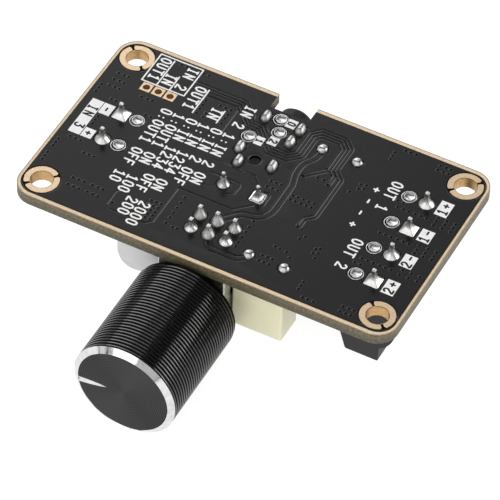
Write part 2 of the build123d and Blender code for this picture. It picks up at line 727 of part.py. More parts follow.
def strip_contact(x, y, run, depth):
    """A flat strip beside the bore, with its leg through the board."""
    half_w = CONTACT_STRIP_W / 2
    half_t = CONTACT_STRIP_T / 2
    low = below(depth - STRIP_SEAT)
    arm_top = below(depth / 2 - STRIP_SEAT)
    leg = brick(x - half_t, x + half_t, y - half_w, y + half_w, low, JACK_PIN_TIP_Z)
    return leg + brick(x - half_t, x + half_t, y, y + run, low, arm_top)


# Capacitors
def film_box(x, y):
    half_l = FILM_LENGTH / 2
    half_w = FILM_WIDTH / 2
    box = brick(x - half_l, x + half_l, y - half_w, y + half_w, below(0), below(FILM_HEIGHT))
    box = fillet(box.edges().filter_by(Axis.Z) + box.edges().group_by(Axis.Z)[0], FILM_EDGE_R)
    box -= brick(x - half_l + FILM_FOOT_INSET, x + half_l - FILM_FOOT_INSET, y - half_w, y + half_w,
                 below(0), below(FILM_FOOT))
    for side in (-1, 1):
        box -= rod_z(x + side * FILM_PITCH / 2, y, below(0), below(FILM_LEAD_DEPTH), FILM_LEAD_R)
    return box


def film_leads():
    return [rod_z(x, y, below(FILM_LEAD_DEPTH), FILM_TIP_Z, FILM_LEAD_R) for x, y in FILM_PINS]


def radial_can():
    """An aluminium can in its sleeve, rolled in over the rubber bung."""
    low = below(RADIAL_HEIGHT)
    top = below(RADIAL_STANDOFF)
    bead = top - RADIAL_BEAD_H
    profile = [
        (0, low),
        (RADIAL_R - RADIAL_EDGE_R, low),
        (RADIAL_R, low + RADIAL_EDGE_R),
        (RADIAL_R, bead - RADIAL_BEAD_HALF),
        (RADIAL_R - RADIAL_BEAD, bead),
        (RADIAL_R, bead + RADIAL_BEAD_HALF),
        (RADIAL_R, top - RADIAL_EDGE_R),
        (RADIAL_R - RADIAL_EDGE_R, top),
        (BUNG_R, top),
        (BUNG_R, top - BUNG_T),
        (0, top - BUNG_T),
    ]
    return turned_z(profile, RADIAL_X, RADIAL_Y)


def radial_bung():
    top = below(RADIAL_STANDOFF)
    bung = turned_z([(0, top - BUNG_T), (BUNG_R, top - BUNG_T), (BUNG_R, top), (0, top)], RADIAL_X, RADIAL_Y)
    for side in (-1, 1):
        x = RADIAL_X + side * RADIAL_LEAD_INNER
        bung -= rod_z(x, RADIAL_Y, top - BUNG_T, top, RADIAL_LEAD_R)
    return bung


def radial_leads():
    """Each lead leaves the bung, steps outwards below the board and goes up through it."""
    top = below(RADIAL_STANDOFF)
    leads = []
    for side in (-1, 1):
        inner = RADIAL_X + side * RADIAL_LEAD_INNER
        outer = RADIAL_X + side * RADIAL_PITCH / 2
        crank = below(RADIAL_STANDOFF / 2)
        lead = rod_z(inner, RADIAL_Y, top - BUNG_T, crank, RADIAL_LEAD_R)
        rod = rod_z(outer, RADIAL_Y, crank, RADIAL_TIP_Z, RADIAL_LEAD_R)
        lead += fillet(rod.edges().group_by(Axis.Z)[-1], RADIAL_TIP_R)
        lead += Pos((inner + outer) / 2, RADIAL_Y, crank) * Rot(0, 90, 0) * Cylinder(
            RADIAL_LEAD_R, abs(outer - inner))
        for x in (inner, outer):
            lead += Pos(x, RADIAL_Y, crank) * Sphere(RADIAL_LEAD_R)
        leads.append(lead)
    return leads


def chip_can():
    """Bare aluminium can with a round far edge and a rolled bead near its base."""
    low = below(CHIP_CAN_HEIGHT)
    top = below(CHIP_BASE_T)
    bead = top - CHIP_CAN_BEAD_H
    radius = CHIP_CAN_R
    edge = CHIP_CAN_EDGE_R
    bend = [(radius - edge + edge * sin(radians(a)), low + edge - edge * cos(radians(a)))
            for a in (0, 30, 60, 90)]
    profile = [(0, low)] + bend + [
        (radius, bead - CHIP_CAN_BEAD_HALF),
        (radius - CHIP_CAN_BEAD, bead),
        (radius, bead + CHIP_CAN_BEAD_HALF),
        (radius, top - CHIP_CAN_FOOT_R),
        (radius - CHIP_CAN_FOOT_R, top),
        (0, top),
    ]
    return turned_z(profile, CHIP_CAN_X, CHIP_CAN_Y)


def chip_base():
    """Square plastic base, cut at two corners, with a rim round the can and grooves for the tabs."""
    half = CHIP_BASE / 2
    outline = Pos(CHIP_CAN_X, CHIP_CAN_Y) * Rectangle(CHIP_BASE, CHIP_BASE)
    outline = chamfer(outline.vertices().group_by(Axis.X)[-1], CHIP_BASE_CUT)
    tall = CHIP_BASE_T + CHIP_BASE_RIM
    base = Pos(0, 0, below(tall)) * extrude(outline, amount=tall)
    base -= rod_z(CHIP_CAN_X, CHIP_CAN_Y, below(CHIP_BASE_T), below(tall), CHIP_CAN_R)
    groove = CHIP_TAB_W / 2
    base -= brick(CHIP_CAN_X - half, CHIP_CAN_X + half, CHIP_CAN_Y - groove, CHIP_CAN_Y + groove,
                  below(0), below(CHIP_TAB_T))
    return base


def chip_tabs():
    half = CHIP_BASE / 2
    groove = CHIP_TAB_W / 2
    tabs = []
    for side in (-1, 1):
        tabs.append(brick(CHIP_CAN_X + side * CHIP_TAB_INNER, CHIP_CAN_X + side * (half + CHIP_TAB_REACH),
                          CHIP_CAN_Y - groove, CHIP_CAN_Y + groove, below(0), below(CHIP_TAB_T)))
    return tabs


# Amplifier chip
def chip_body():
    low = below(CHIP_STANDOFF + CHIP_T)
    middle = below(CHIP_STANDOFF + CHIP_T / 2)
    high = below(CHIP_STANDOFF)
    wide = Pos(CHIP_X, CHIP_Y, middle) * Rectangle(CHIP_LENGTH, CHIP_WIDTH)
    small = Rectangle(CHIP_LENGTH - CHIP_DRAFT, CHIP_WIDTH - CHIP_DRAFT)
    body = loft([Pos(CHIP_X, CHIP_Y, low) * small, wide]) + loft([wide, Pos(CHIP_X, CHIP_Y, high) * small])
    dot_x = CHIP_X - CHIP_LENGTH / 2 + CHIP_DOT_INSET
    dot_y = CHIP_Y - CHIP_WIDTH / 2 + CHIP_DOT_INSET
    return body - rod_z(dot_x, dot_y, low, low + CHIP_DOT_DEPTH, CHIP_DOT_R)


def chip_legs():
    """Bent legs: out of the body's side, down to the board and out along it."""
    legs = []
    middle_h = CHIP_STANDOFF + CHIP_T / 2
    half_t = CHIP_LEG_T / 2
    body_half = CHIP_WIDTH / 2
    knee = CHIP_SPAN / 2 - CHIP_FOOT
    points = [
        (body_half, middle_h - half_t),
        (knee - half_t, middle_h - half_t),
        (knee + half_t, CHIP_LEG_T),
        (knee + half_t, 0),
        (CHIP_SPAN / 2, 0),
        (CHIP_SPAN / 2, CHIP_LEG_T),
        (knee + 3 * half_t, CHIP_LEG_T),
        (knee + half_t, middle_h + half_t),
        (body_half, middle_h + half_t),
    ]
    for side in (-1, 1):
        outline = make_face(Polyline([(CHIP_Y + side * y, below(h)) for y, h in points], close=True))
        for i in range(CHIP_ROW):
            x = CHIP_X + CHIP_PITCH * (i - (CHIP_ROW - 1) / 2)
            plane = Plane(origin=(x - CHIP_LEG_W / 2, 0, 0), x_dir=(0, 1, 0), z_dir=(1, 0, 0))
            legs.append(extrude(plane * outline, amount=CHIP_LEG_W))
    return legs


def chip_part_bodies(places, size):
    length, width, height, end = size
    half = length / 2 - end
    return [brick(x - half, x + half, y - width / 2, y + width / 2, below(0), below(height)) for x, y in places]


def chip_part_ends(places, size):
    length, width, height, end = size
    ends = []
    for x, y in places:
        for side in (-1, 1):
            ends.append(brick(x + side * (length / 2 - end), x + side * length / 2,
                              y - width / 2, y + width / 2, below(0), below(height)))
    return ends


# Solder joints, each a cone of solder round its pin on the solder face
def round_joint(x, y, radius, height):
    shoulder = (radius * SHOULDER_SHARE[0], height * SHOULDER_SHARE[1])
    profile = [(0, 0), (radius, 0), (radius, JOINT_FOOT_H), shoulder, (radius * NECK_SHARE, height), (0, height)]
    return turned_z(profile, x, y)


def square_joint(x, y, side, height):
    base = Pos(x, y, 0) * Rectangle(side, side)
    neck = Pos(x, y, height) * Circle(side * SQUARE_NECK_SHARE)
    return loft([base, neck])


def square_leg(x, y, side_x, side_y):
    return brick(x - side_x / 2, x + side_x / 2, y - side_y / 2, y + side_y / 2, -BOARD_T, 2 * PIN_TIP_Z)


def terminal_solder():
    """Round joints and square ones in turn, as their pads are."""
    joints = []
    pins = [(OUTPUT_X, y) for y in OUTPUT_PINS_Y] + [(POWER_X, y) for y in POWER_PINS_Y]
    square = [True, False, True, False, False, True]
    for (x, y), is_square in zip(pins, square):
        joint = square_joint(x, y, PAD_SIDE, JOINT_H) if is_square else round_joint(x, y, PAD_R, JOINT_H)
        joints.append(joint - square_leg(x, y, PIN_SIDE, PIN_SIDE))
    return joints


def pot_solder():
    return [round_joint(x, y, POT_PAD_R, POT_JOINT_H) - square_leg(x, y, POT_PIN_W, POT_PIN_T)
            for x, y in POT_PINS]


def film_solder():
    joints = []
    shoulder = (FILM_PAD_R * FILM_SHOULDER_SHARE[0], FILM_JOINT_H * FILM_SHOULDER_SHARE[1])
    neck = (FILM_PAD_R * FILM_NECK_SHARE, FILM_JOINT_H)
    for x, y in FILM_PINS:
        dome = turned_z([(0, 0), (FILM_PAD_R, 0), shoulder, neck, (0, FILM_JOINT_H)], x, y)
        joints.append(dome - rod_z(x, y, -BOARD_T, FILM_TIP_Z, FILM_LEAD_R))
    return joints


def radial_solder():
    left, right = RADIAL_PINS
    joints = [round_joint(*left, RADIAL_PAD_R, RADIAL_JOINT_H),
              square_joint(*right, RADIAL_PAD_SIDE, RADIAL_JOINT_H)]
    return [joint - rod_z(x, y, -BOARD_T, 2 * RADIAL_TIP_Z, RADIAL_LEAD_R)
            for joint, (x, y) in zip(joints, RADIAL_PINS)]


def jack_solder():
    """Long low mounds round the flat legs."""
    wide, long = JACK_PAD
    joints = []
    for x, y in JACK_PINS:
        base = Pos(x, y, 0) * SlotOverall(long, wide, 90)
        neck_long = long * JACK_NECK_SHARE[1]
        neck = Pos(x, y, JACK_JOINT_H) * SlotOverall(neck_long, wide * JACK_NECK_SHARE[0], 90)
        joints.append(loft([base, neck]) - square_leg(x, y, CONTACT_STRIP_T, CONTACT_STRIP_W))
    return joints


def wire_pad_solder():
    """A tinned ring with a dished fill of solder in its hole."""
    pads = []
    for x, y in wire_pad_places():
        profile = [(0, -BOARD_T / 2), (WIRE_HOLE_R, -BOARD_T / 2), (WIRE_HOLE_R, 0), (WIRE_PAD_R, 0),
                   (WIRE_PAD_R, PLATING_T), (WIRE_HOLE_R + DISH_RIM[0], DISH_RIM[1]),
                   (WIRE_HOLE_R, DISH_EDGE_H), (0, DISH_FLOOR_H)]
        pads.append(turned_z(profile, x, y))
    return pads


def save(name, shapes):
    """Writes one node, as a single solid or as a group of separate ones."""
    if isinstance(shapes, (list, tuple)):
        solids = [solid for shape in shapes for solid in shape.solids()]
        export_step(Compound(children=solids), f"parts/{name}.step")
    else:
        export_step(shapes, f"parts/{name}.step")


def save_terminal(name, pin_x, pins_y, side):
    save(f"{name}_housing", terminal_housing(pin_x, pins_y, side))
    save(f"{name}_pins", [terminal_pin(pin_x, y, side) for y in pins_y])
    for end, y in zip(("front", "rear"), pins_y):
        save(f"{name}_{end}_cage", clamp_cage(pin_x, y, side))
        save(f"{name}_{end}_screw", clamp_screw(pin_x, y, side))


save("circuit_board", circuit_board())
save("mounting_rings", mounting_rings())
save("header_pads", header_pads())
save_terminal("power_terminal", POWER_X, POWER_PINS_Y, -1)
save_terminal("left_terminal", OUTPUT_X, OUTPUT_PINS_Y[:2], 1)
save_terminal("right_terminal", OUTPUT_X, OUTPUT_PINS_Y[2:], 1)
save("pot_frame", pot_frame())
save("pot_bushing", pot_bushing())
save("pot_front_housing", pot_front_housing())
save("pot_middle_housing", pot_middle_housing())
save("pot_cover", pot_cover())
for row, gang in enumerate(("front", "rear")):
    save(f"pot_{gang}_wafer", pot_wafer(row))
    save(f"pot_{gang}_legs", pot_legs(row))
    save(f"pot_{gang}_rotor", pot_rotor(row))
save("pot_shaft", pot_shaft())
save("knob_shell", knob_shell())
save("knob_insert", knob_insert())
save("jack_housing", jack_housing())
save("jack_sleeve_contact", jack_sleeve_contact())
for contact, place in SIDE_PINS.items():
    save(contact, strip_contact(*place))
for where, place in FILM_PLACES.items():
    save(f"film_capacitor_{where}", film_box(*place))
save("film_capacitor_leads", film_leads())
save("radial_capacitor_can", radial_can())
save("radial_capacitor_bung", radial_bung())
save("radial_capacitor_leads", radial_leads())
save("chip_capacitor_can", chip_can())
save("chip_capacitor_base", chip_base())
save("chip_capacitor_tabs", chip_tabs())
save("amplifier_chip", chip_body())
save("amplifier_chip_legs", chip_legs())
save("chip_resistors", chip_part_bodies(RESISTORS, RESISTOR_SIZE))
save("ceramic_capacitors", chip_part_bodies(CERAMICS, CERAMIC_SIZE))
save("chip_part_ends", chip_part_ends(RESISTORS, RESISTOR_SIZE) + chip_part_ends(CERAMICS, CERAMIC_SIZE))
save("terminal_solder", terminal_solder())
save("pot_solder", pot_solder())
save("capacitor_solder", film_solder() + radial_solder())
save("jack_solder", jack_solder())
save("wire_pads", wire_pad_solder())
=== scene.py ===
from math import atan2, cos, hypot, pi, radians, sin, tau

import bpy
from mathutils import Matrix, Vector, noise
from mathutils.geometry import delaunay_2d_cdt

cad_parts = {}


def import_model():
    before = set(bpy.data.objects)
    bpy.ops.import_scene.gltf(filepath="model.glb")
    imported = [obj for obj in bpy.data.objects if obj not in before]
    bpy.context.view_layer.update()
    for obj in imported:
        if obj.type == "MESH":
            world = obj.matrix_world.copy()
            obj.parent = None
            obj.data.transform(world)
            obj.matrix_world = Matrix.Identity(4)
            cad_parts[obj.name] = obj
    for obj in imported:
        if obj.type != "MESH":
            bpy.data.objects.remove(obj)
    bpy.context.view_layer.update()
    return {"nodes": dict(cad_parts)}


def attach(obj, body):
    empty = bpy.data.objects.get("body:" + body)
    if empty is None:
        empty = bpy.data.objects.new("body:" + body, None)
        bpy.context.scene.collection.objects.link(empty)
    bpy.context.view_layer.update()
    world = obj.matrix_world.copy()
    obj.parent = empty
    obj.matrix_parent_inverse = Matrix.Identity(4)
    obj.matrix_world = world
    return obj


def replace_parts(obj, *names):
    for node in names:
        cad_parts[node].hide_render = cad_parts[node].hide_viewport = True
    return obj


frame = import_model()
scene = bpy.context.scene
MM = 0.001

# Board, in millimetres: the solder face is z = 0
BOARD_T = 1.6
BOARD_HALF_X = 27.2
BOARD_HALF_Y = 16.0
BOARD_CORNER_R = 3.0
MASK_HALF_X = 26.75
MASK_HALF_Y = 15.36
MASK_CORNER_R = 2.4
NOTCH_LEFT = -4.605
NOTCH_RIGHT = 1.145
NOTCH_Y = 13.25
NOTCH_OPEN_Y = 20
NOTCH_CORNER_R = 0.42
NOTCH_EASE = 0.005
HOLES = [(sx * 24.13, sy * 12.7) for sx in (-1, 1) for sy in (-1, 1)]
HOLE_R = 1.5
HOLE_CLEAR = 0.03
PLATING_T = 0.05

# Corner rings: the slope at the edge, the slit between the halves and the round ends beside it
RING_R = 2.36
RING_EDGE_W = 0.05
RING_EDGE_H = 0.02
RING_GAP = 0.36
SLIT_OVERRUN = 0.3
EAR_R = 0.52
EAR_INTO_SLIT = 0.01
EAR_BEYOND = 0.15

# A darker band round the edge of the board's face, and the mask's lip, a dark strip of painted shadow, which
# is cut away at the rear
EDGE_BAND_W = 0.13
EDGE_BAND_H = 0.006
LIP_W = 0.12
LIP_OUT = 0.004
LIP_UP = 0.002
LIP_CUT = [(-27, 15), (27, 15), (27, 17), (-27, 17)]

# Heights of the face: bare gap, mask over copper, ink and bare metal
GAP_H = 0.01
MASK_H = 0.045
INK_BASE = 0.02
INK_H = 0.065
METAL_H = 0.075
REAR_MASK_T = 0.02

# Clear rings of the mask round bare metal, with the slope beside each
RING_MOAT = 0.13
RING_MOAT_SLOPE = 0.1
PAD_MOAT = 0.12
PAD_MOAT_SLOPE = 0.09
UNDER_METAL = 0.1
# A filled via: rows of (radius, height)
VIA_RINGS = [(0.33, 0.045), (0.24, 0.059), (0.165, 0.058), (0.12, 0.004)]
# Header holes: in the mask, then the outside, inside and top of their plating
HEADER_R = 0.52
HEADER_WALL = (0.5, 0.47, 0.055)
# The hole of the socket's peg: rows of (distance out from its wall, height) of its dish and lining; the
# lining's dark wall down the hole is painted shade
PEG_HOLE_R = 0.78
PEG_DISH = [(0.38, MASK_H), (0.24, MASK_H - 0.01), (0.13, GAP_H)]
PEG_LINING = [(0.02, -0.9), (-0.04, -0.9), (-0.04, MASK_H - 0.05), (-0.02, MASK_H - 0.012),
              (0.02, MASK_H), (0.02, 0), (0.02, -0.9)]
# Height differences that tell a gap and an edge of the copper
GAP_LOOK = 0.003
EDGE_LOOK = 0.012

# Places of the pins and the pads, seen from the solder side
OUTPUT_Y = [-7.765, -2.685, 2.395, 7.475]
POWER_Y = [-2.58, 2.5]
TERMINAL_PINS = [(21.09, y) for y in OUTPUT_Y] + [(-20.86, y) for y in POWER_Y]
TERMINAL_SHAPES = ["square", "round", "square", "round", "round", "square"]
TERMINAL_SEEDS = [0.0, 1.7, 3.4, 5.1, 7.3, 9.1]
WIRE_PADS = [(18.6, y) for y in OUTPUT_Y] + [(-18.53, y) for y in POWER_Y]
SOCKET_PADS = [(-2.21, 11.8), (-1.31, 9.54), (-4.47, 7.08)]
SHAFT_X = -0.83
POT_PITCH = 2.5
POT_PINS = [(SHAFT_X + POT_PITCH * (i - 1), y) for y in (-10.88, -8.38) for i in range(3)]
FILM_PINS = [(5.00, 9.69), (10.00, 9.69), (5.25, -11.4), (10.25, -11.4)]
RADIAL_PINS = [(-3.36, -2.07), (1.64, -2.07)]
JACK_PINS = [(-4.12, 11.3), (0.95, 11.3), (0.75, 8.69), (0.75, 3.67), (-4.57, 4.77), (-3.57, 2.46)]
PEG = (-1.83, 3.77)
HEADER_PITCH = 1.76
HEADER = [(-18.68 + HEADER_PITCH * (i - 1), 8.54) for i in range(3)]

# Half the size of each pad, and of the joints that differ from their pads
TERMINAL_PAD = 1.05
POT_PAD = 0.88
POT_JOINT = 0.9
FILM_PAD = 0.76
RADIAL_PADS = [("round", 0.9), ("square", 0.95)]
WIRE_PAD = 1.05
SQUARE_CORNER_R = 0.05
OVAL_HALF_X = 0.67
OVAL_HALF_Y = 0.98

# Knob, whose axis runs along Y through SHAFT_X and SHAFT_Z
SHAFT_Z = -7.72
KNOB_FACE_Y = -33.39
KNOB_REAR_Y = -16.43
KNOB_R = 7.22
KNOB_BORE_R = 2.0
# Rows of (distance in from the barrel, distance from the rear or the face) at the ridges' ends
REAR_EDGE = [(0.3, 0), (0.15, 0.12), (0.12, 0.55)]
FRONT_EDGE = [(0.02, 0.62), (0.01, 0.57), (0.79, 0), (0.85, 0.04)]
KNOB_WALL = 1.2
KNOB_FACE_T = 1.9
CREST_INSET = 0.005
RIDGES = 30
# One ridge of the barrel, across its pitch: place and depth below the crest
RIDGE = [(-0.5, 0.11), (-0.36, 0.08), (-0.24, 0.013), (-0.17, 0.004), (-0.08, 0.0006), (0.08, 0.0006),
         (0.17, 0.004), (0.24, 0.013), (0.36, 0.08)]
CREST_HALF = 0.24
# Turning marks of the face; circles beyond FINE_BEYOND have more points
FACE_MARK = 0.13
FACE_MARK_DEPTH = 0.008
FINE_BEYOND = 2.5
# The pointer's groove: distance from the axis and half its width
POINTER = [(2.35, 0), (3.2, 0.19), (4.4, 0.33), (5.6, 0.41), (6.7, 0.43)]
POINTER_ANGLE = 187.6
POINTER_SLOPE = 0.2
POINTER_FLOOR = 0.004
POINTER_LEAST = 1e-4

# Solder: rows of (share of the way from the pin out to the rim, height), and half the size of each pin
CONE = [(1, 0), (1, 0.06), (0.96, 0.11), (0.85, 0.19), (0.71, 0.31), (0.53, 0.46), (0.38, 0.6), (0.26, 0.75),
        (0.16, 0.92), (0.08, 1.1), (0.03, 1.27), (0, 1.42)]
ONION = [(1, 0), (1, 0.08), (0.95, 0.18), (0.84, 0.34), (0.68, 0.52), (0.52, 0.71), (0.38, 0.89),
         (0.26, 1.07), (0.15, 1.24), (0.07, 1.42), (0, 1.62)]
WAIST = [(1, 0), (1, 0.07), (0.95, 0.17), (0.84, 0.31), (0.7, 0.46), (0.54, 0.61), (0.39, 0.76), (0.26, 0.92),
         (0.15, 1.1), (0.06, 1.3), (0, 1.55)]
LOW = [(1, 0), (1, 0.08), (0.95, 0.16), (0.85, 0.25), (0.7, 0.34), (0.52, 0.45), (0.35, 0.57), (0.22, 0.72),
       (0.12, 0.89), (0.05, 1.08), (0, 1.3)]
TENT = [(1, 0), (1, 0.07), (0.94, 0.14), (0.82, 0.26), (0.66, 0.41), (0.5, 0.58), (0.36, 0.76), (0.24, 0.95),
        (0.12, 1.17), (0, 1.42)]
PLATE = [(1, 0), (1, 0.1), (0.94, 0.125), (0.78, 0.145), (0.57, 0.22), (0.39, 0.36), (0.25, 0.55),
         (0.14, 0.78), (0.06, 1.02), (0, 1.3)]
FLAT = [(1, 0), (1, 0.1), (0.96, 0.23), (0.87, 0.38), (0.74, 0.52), (0.57, 0.65), (0.38, 0.76), (0.2, 0.84),
        (0.05, 0.9), (-0.25, 0.925)]
POT_PROFILES = [LOW, ONION, LOW, ONION, ONION, WAIST]
TERMINAL_NECK = (0.29, 0.29)
POT_NECK = (0.265, 0.315)
RADIAL_NECK = (0.285, 0.285)
FLAT_LEG = (0.17, 0.54)
FLAT_SHIFT = (0.04, -0.1)
FLAT_INSET = 0.03
# The radial capacitor's joints: shape, half its size, profile and seed
RADIAL_JOINTS = [("round", 0.88, TENT, 5.2), ("square", 0.93, PLATE, 6.4)]
# Film capacitor's joints: rows of (share of the radius, share of the height)
DOME = [(1, 0), (1, 0.12), (0.97, 0.3), (0.89, 0.5), (0.77, 0.68), (0.62, 0.83), (0.44, 0.94), (0.22, 1),
        (0, 1.02)]
DOME_H = 0.62
# Tinned wire pads: rows of (radius, height) of the rim and the bowl of solder in it
TINNED_RIM = [(0.89, 0), (1.05, 0), (1.05, 0.08), (1.02, 0.12), (0.97, 0.135), (0.92, 0.12), (0.89, 0.08),
              (0.89, 0)]
BOWL = [(0.76, 0), (0.76, 0.17), (0.735, 0.215), (0.69, 0.225), (0.62, 0.195), (0.52, 0.145), (0.42, 0.105),
        (0.32, 0.075), (0.22, 0.055), (0.12, 0.044), (0, 0.04)]
BOWL_SHIFT = (0.05, 0.03)
# Ripples of the solder: strength, and how fast they change round the pin and up it
FILLET_BROAD = (0.16, 2.4, 0.8)
FILLET_FINE = (0.14, 5.5, 0.2)
FLAT_BROAD = (0.22, 1.6, 1)
FLAT_FINE = (0.3, 4.5, 2)
DOME_WOBBLE = 0.14
BOWL_WOBBLE = 0.04
WOBBLE_RATES = (1.3, 2)
SQUARE_PINCH = 0.12


def grid(xs, ys):
    return [(x, y) for x in xs for y in ys]


VIAS = [
    *grid([-24.91, -24.1, -23.4], [9.09, 7.83, 6.53]),
    *grid([-25.91], [6.23, 5.52, 4.72, -5.22, -5.93, -6.63, -8.03, -8.74, -9.44]),
    *grid([-20.19, -19.28, -18.58], [6.68]),
    *grid([-23.4, -22.7, -21.99], [4.42]),
    *grid([-18.08, -17.27], [3.97]),
    *grid([-23.4], [0.85, 0.05, -0.7]),
    *grid([-24.81, -24.0, -23.25], [-4.12]),
    *grid([-21.79, -20.99, -20.29], [-5.88]),
    *grid([-20.79, -19.99, -19.18, -17.98, -17.17, -16.42], [-10.39, -11.75]), (-14.26, -11.85),
    *grid([-14.26, -15.06, -18.38, -17.58], [14.46]),
    *grid([-12.45], [10.14, 9.24, 8.44, 7.53]),
    *grid([-11.35], [8.08, 7.33]),
    *grid([-10.34, -9.54, -8.74], [10.19]),
    *grid([-8.74], [9.24, 8.44, 7.43]),
    *grid([-10.04, -9.34, -8.64], [-9.04, -9.84, -10.65, -11.35, -12.05]),
    *grid([-6.53], [-6.53, -7.58, -8.64, -9.54, -10.55, -11.65]),
    *grid([-5.47, -4.82], [-11.85]),
    *grid([3.11], [-6.03, -7.13, -8.13, -9.14, -10.14, -10.95]),
    *grid([1.76, 2.51, 3.26], [1.41, 0.3]),
    *grid([5.42, 6.13, 6.93, 7.68, 8.44], [0.5, -0.3]),
    (6.73, 4.87), (7.63, 4.82), (8.44, 4.32), (4.97, 4.22),
    *grid([13.46], [13.76, 13.06, 12.4, -12.15, -12.86, -13.56]),
    *grid([14.56, 15.27, 16.07], [14.71, -14.56]),
    *grid([19.68, 20.49, 21.19], [14.46, 13.61, -13.46, -14.36]),
    (12.15, 6.48), (12.86, 6.68), (12.25, 5.57), (12.86, 5.88), (11.45, 4.57),
    *grid([18.08, 18.88, 19.68, 20.59, 21.39, 22.2], [5.17, 0.1, -5.02]),
    *grid([17.58, 18.38], [6.23]),
    *grid([17.58, 18.38], [-6.03]),
    *grid([23.5, 24.71, 25.91], [6.03, 5.32, 4.52, 0.5, -0.3, -1.0, -4.32, -5.22]),
    (9.14, -4.22), (8.44, -4.02), (9.64, -5.82), (10.14, -5.22), (12.25, -6.43), (12.75, -6.13),
    (12.86, -6.93), (12.25, -7.23), (12.86, -7.93), (7.53, -8.54), (8.24, -8.54), (9.24, -8.64),
    (10.04, -9.34),
    *grid([6.83, 7.53, 8.24], [-10.65, -11.65]),
]

# Traces under the mask, each a centre line; the last value is half its width
TRACES = [
    ([(-15.1, 12.45), (-7.6, 12.45), (-5.75, 10.6), (-5.75, 10.15), (-5.2, 9.6), (-3.6, 9.6), (-0.72, 6.72),
      (1.4, 6.72), (2.3, 7.62), (2.3, 11.5), (3.5, 12.7), (7.0, 12.7), (8.28, 11.42), (8.28, 7.1), (9.6, 5.8),
      (9.6, -1.45), (8.55, -2.5), (8.55, -4.0)], 0.12),
    ([(-15.1, 11.95), (-7.85, 11.95), (-6.22, 10.32), (-6.22, 9.92), (-5.42, 9.12), (-3.8, 9.12),
      (-0.91, 6.23), (1.6, 6.23), (2.8, 7.43), (2.8, 11.3), (3.73, 12.23), (6.75, 12.23), (7.85, 11.13),
      (7.85, 6.75), (8.5, 6.1), (8.5, 4.35)], 0.12),
    ([(-15.1, 11.45), (-8.1, 11.45), (-6.7, 10.05), (-6.7, 9.77), (-5.6, 8.67), (-4.0, 8.67), (-1.06, 5.73),
      (1.75, 5.73), (3.3, 7.28), (3.3, 11.1), (3.96, 11.76), (6.55, 11.76), (7.38, 10.93), (7.38, 6.7),
      (4.95, 4.25)], 0.12),
    ([(5.0, 9.7), (4.97, 8.5), (4.85, 7.9), (4.5, 7.2), (4.05, 6.5), (3.85, 5.9), (3.8, 5.0), (3.85, 4.0),
      (4.1, 3.0), (4.4, 2.0), (4.42, -2.9), (4.3, -3.7), (3.9, -4.5), (3.3, -5.05), (2.3, -5.4), (1.4, -5.55),
      (0.8, -6.0), (-0.4, -7.4)], 0.28),
    ([(5.25, -11.4), (4.95, -12.15), (4.2, -12.75), (0.6, -12.75), (-0.1, -12.3), (-0.7, -11.4)], 0.28),
]
MOAT = 0.25

# Single grooves between the copper areas
GROOVES = [
    [(-7.95, -5.45), (-0.2, -5.45), (1.75, -3.55)],
    [(-8.1, -5.5), (-8.1, -12.2), (-8.9, -13.0), (-14.1, -13.0), (-14.75, -12.4), (-14.75, -9.8),
     (-14.3, -9.35)],
    [(-6.4, 1.2), (-0.4, 1.2), (1.4, -0.55), (1.75, -0.78), (2.6, -0.78), (2.9, -1.1), (2.9, -3.0)],
    [(-6.0, -3.3), (-1.9, -3.3), (-1.35, -2.9), (-1.25, -1.5), (-1.5, -1.0), (-6.0, -0.9)],
    [(-8.0, 5.9), (-8.0, 10.6), (-8.45, 11.0), (-12.9, 11.0), (-13.0, 10.4)],
    [(1.5, 8.4), (1.35, 7.85), (0.9, 7.55), (0.4, 7.55), (0.05, 7.85)],
]
GROOVE_R = 0.11
# Width of the slope between mask over copper and bare gap, and how far beside a run is looked at
SLOPE = 0.18
REACH = 0.6
TRACE_RUNS = [(*a, *b, half) for points, half in TRACES for a, b in zip(points, points[1:])]
GAP_RUNS = [(ax, ay, bx, by, half + MOAT) for ax, ay, bx, by, half in TRACE_RUNS]
GAP_RUNS += [(*a, *b, GROOVE_R) for points in GROOVES for a, b in zip(points, points[1:])]

# Lines of ink: text, place of its first letter and the height of its letters
LEGEND = [
    ("0:OUT1 OFF 10", -16.67, 6.28, 1.41),
    ("1:OUT1 ON  100", -14.81, 6.28, 1.41),
    ("0:IN 1234 OFF 200", -12.96, 6.28, 1.41),
    ("1:IN 1234 ON  2000", -11.15, 6.28, 1.41),
    ("0:IN 2 OFF", -9.29, 6.28, 1.41),
    ("1:IN 2 ON", -7.43, 6.28, 1.41),
    ("OUT1", -14.66, 12.05, 1.41),
    ("IN", -10.95, 9.6, 1.41),
    ("IN 2", -7.28, 12.05, 1.41),
    ("OUT1", -21.19, 14.55, 1.38),
    ("IN", -19.18, 12.25, 1.38),
    ("IN 2", -17.17, 14.55, 1.38),
    ("OUT 1     OUT 2", 15.62, 9.1, 1.41),
    ("+ - - +", 13.71, 7.0, 1.31),
]
LETTER_PITCH = 1.145
INK_R = 0.125
RULES = [
    [(-21.69, 9.5), (-21.69, 14.96), (-15.37, 14.96), (-15.37, 9.5), (-21.69, 9.5)],
    [(-19.5, 14.6), (-19.5, 9.5)],
    [(-17.55, 12.3), (-17.55, 9.5)],
    [(-12.96, 12.05), (-12.96, 7.35)],
    [(-9.33, 9.6), (-9.33, 7.2)],
]
RULE_R = 0.1

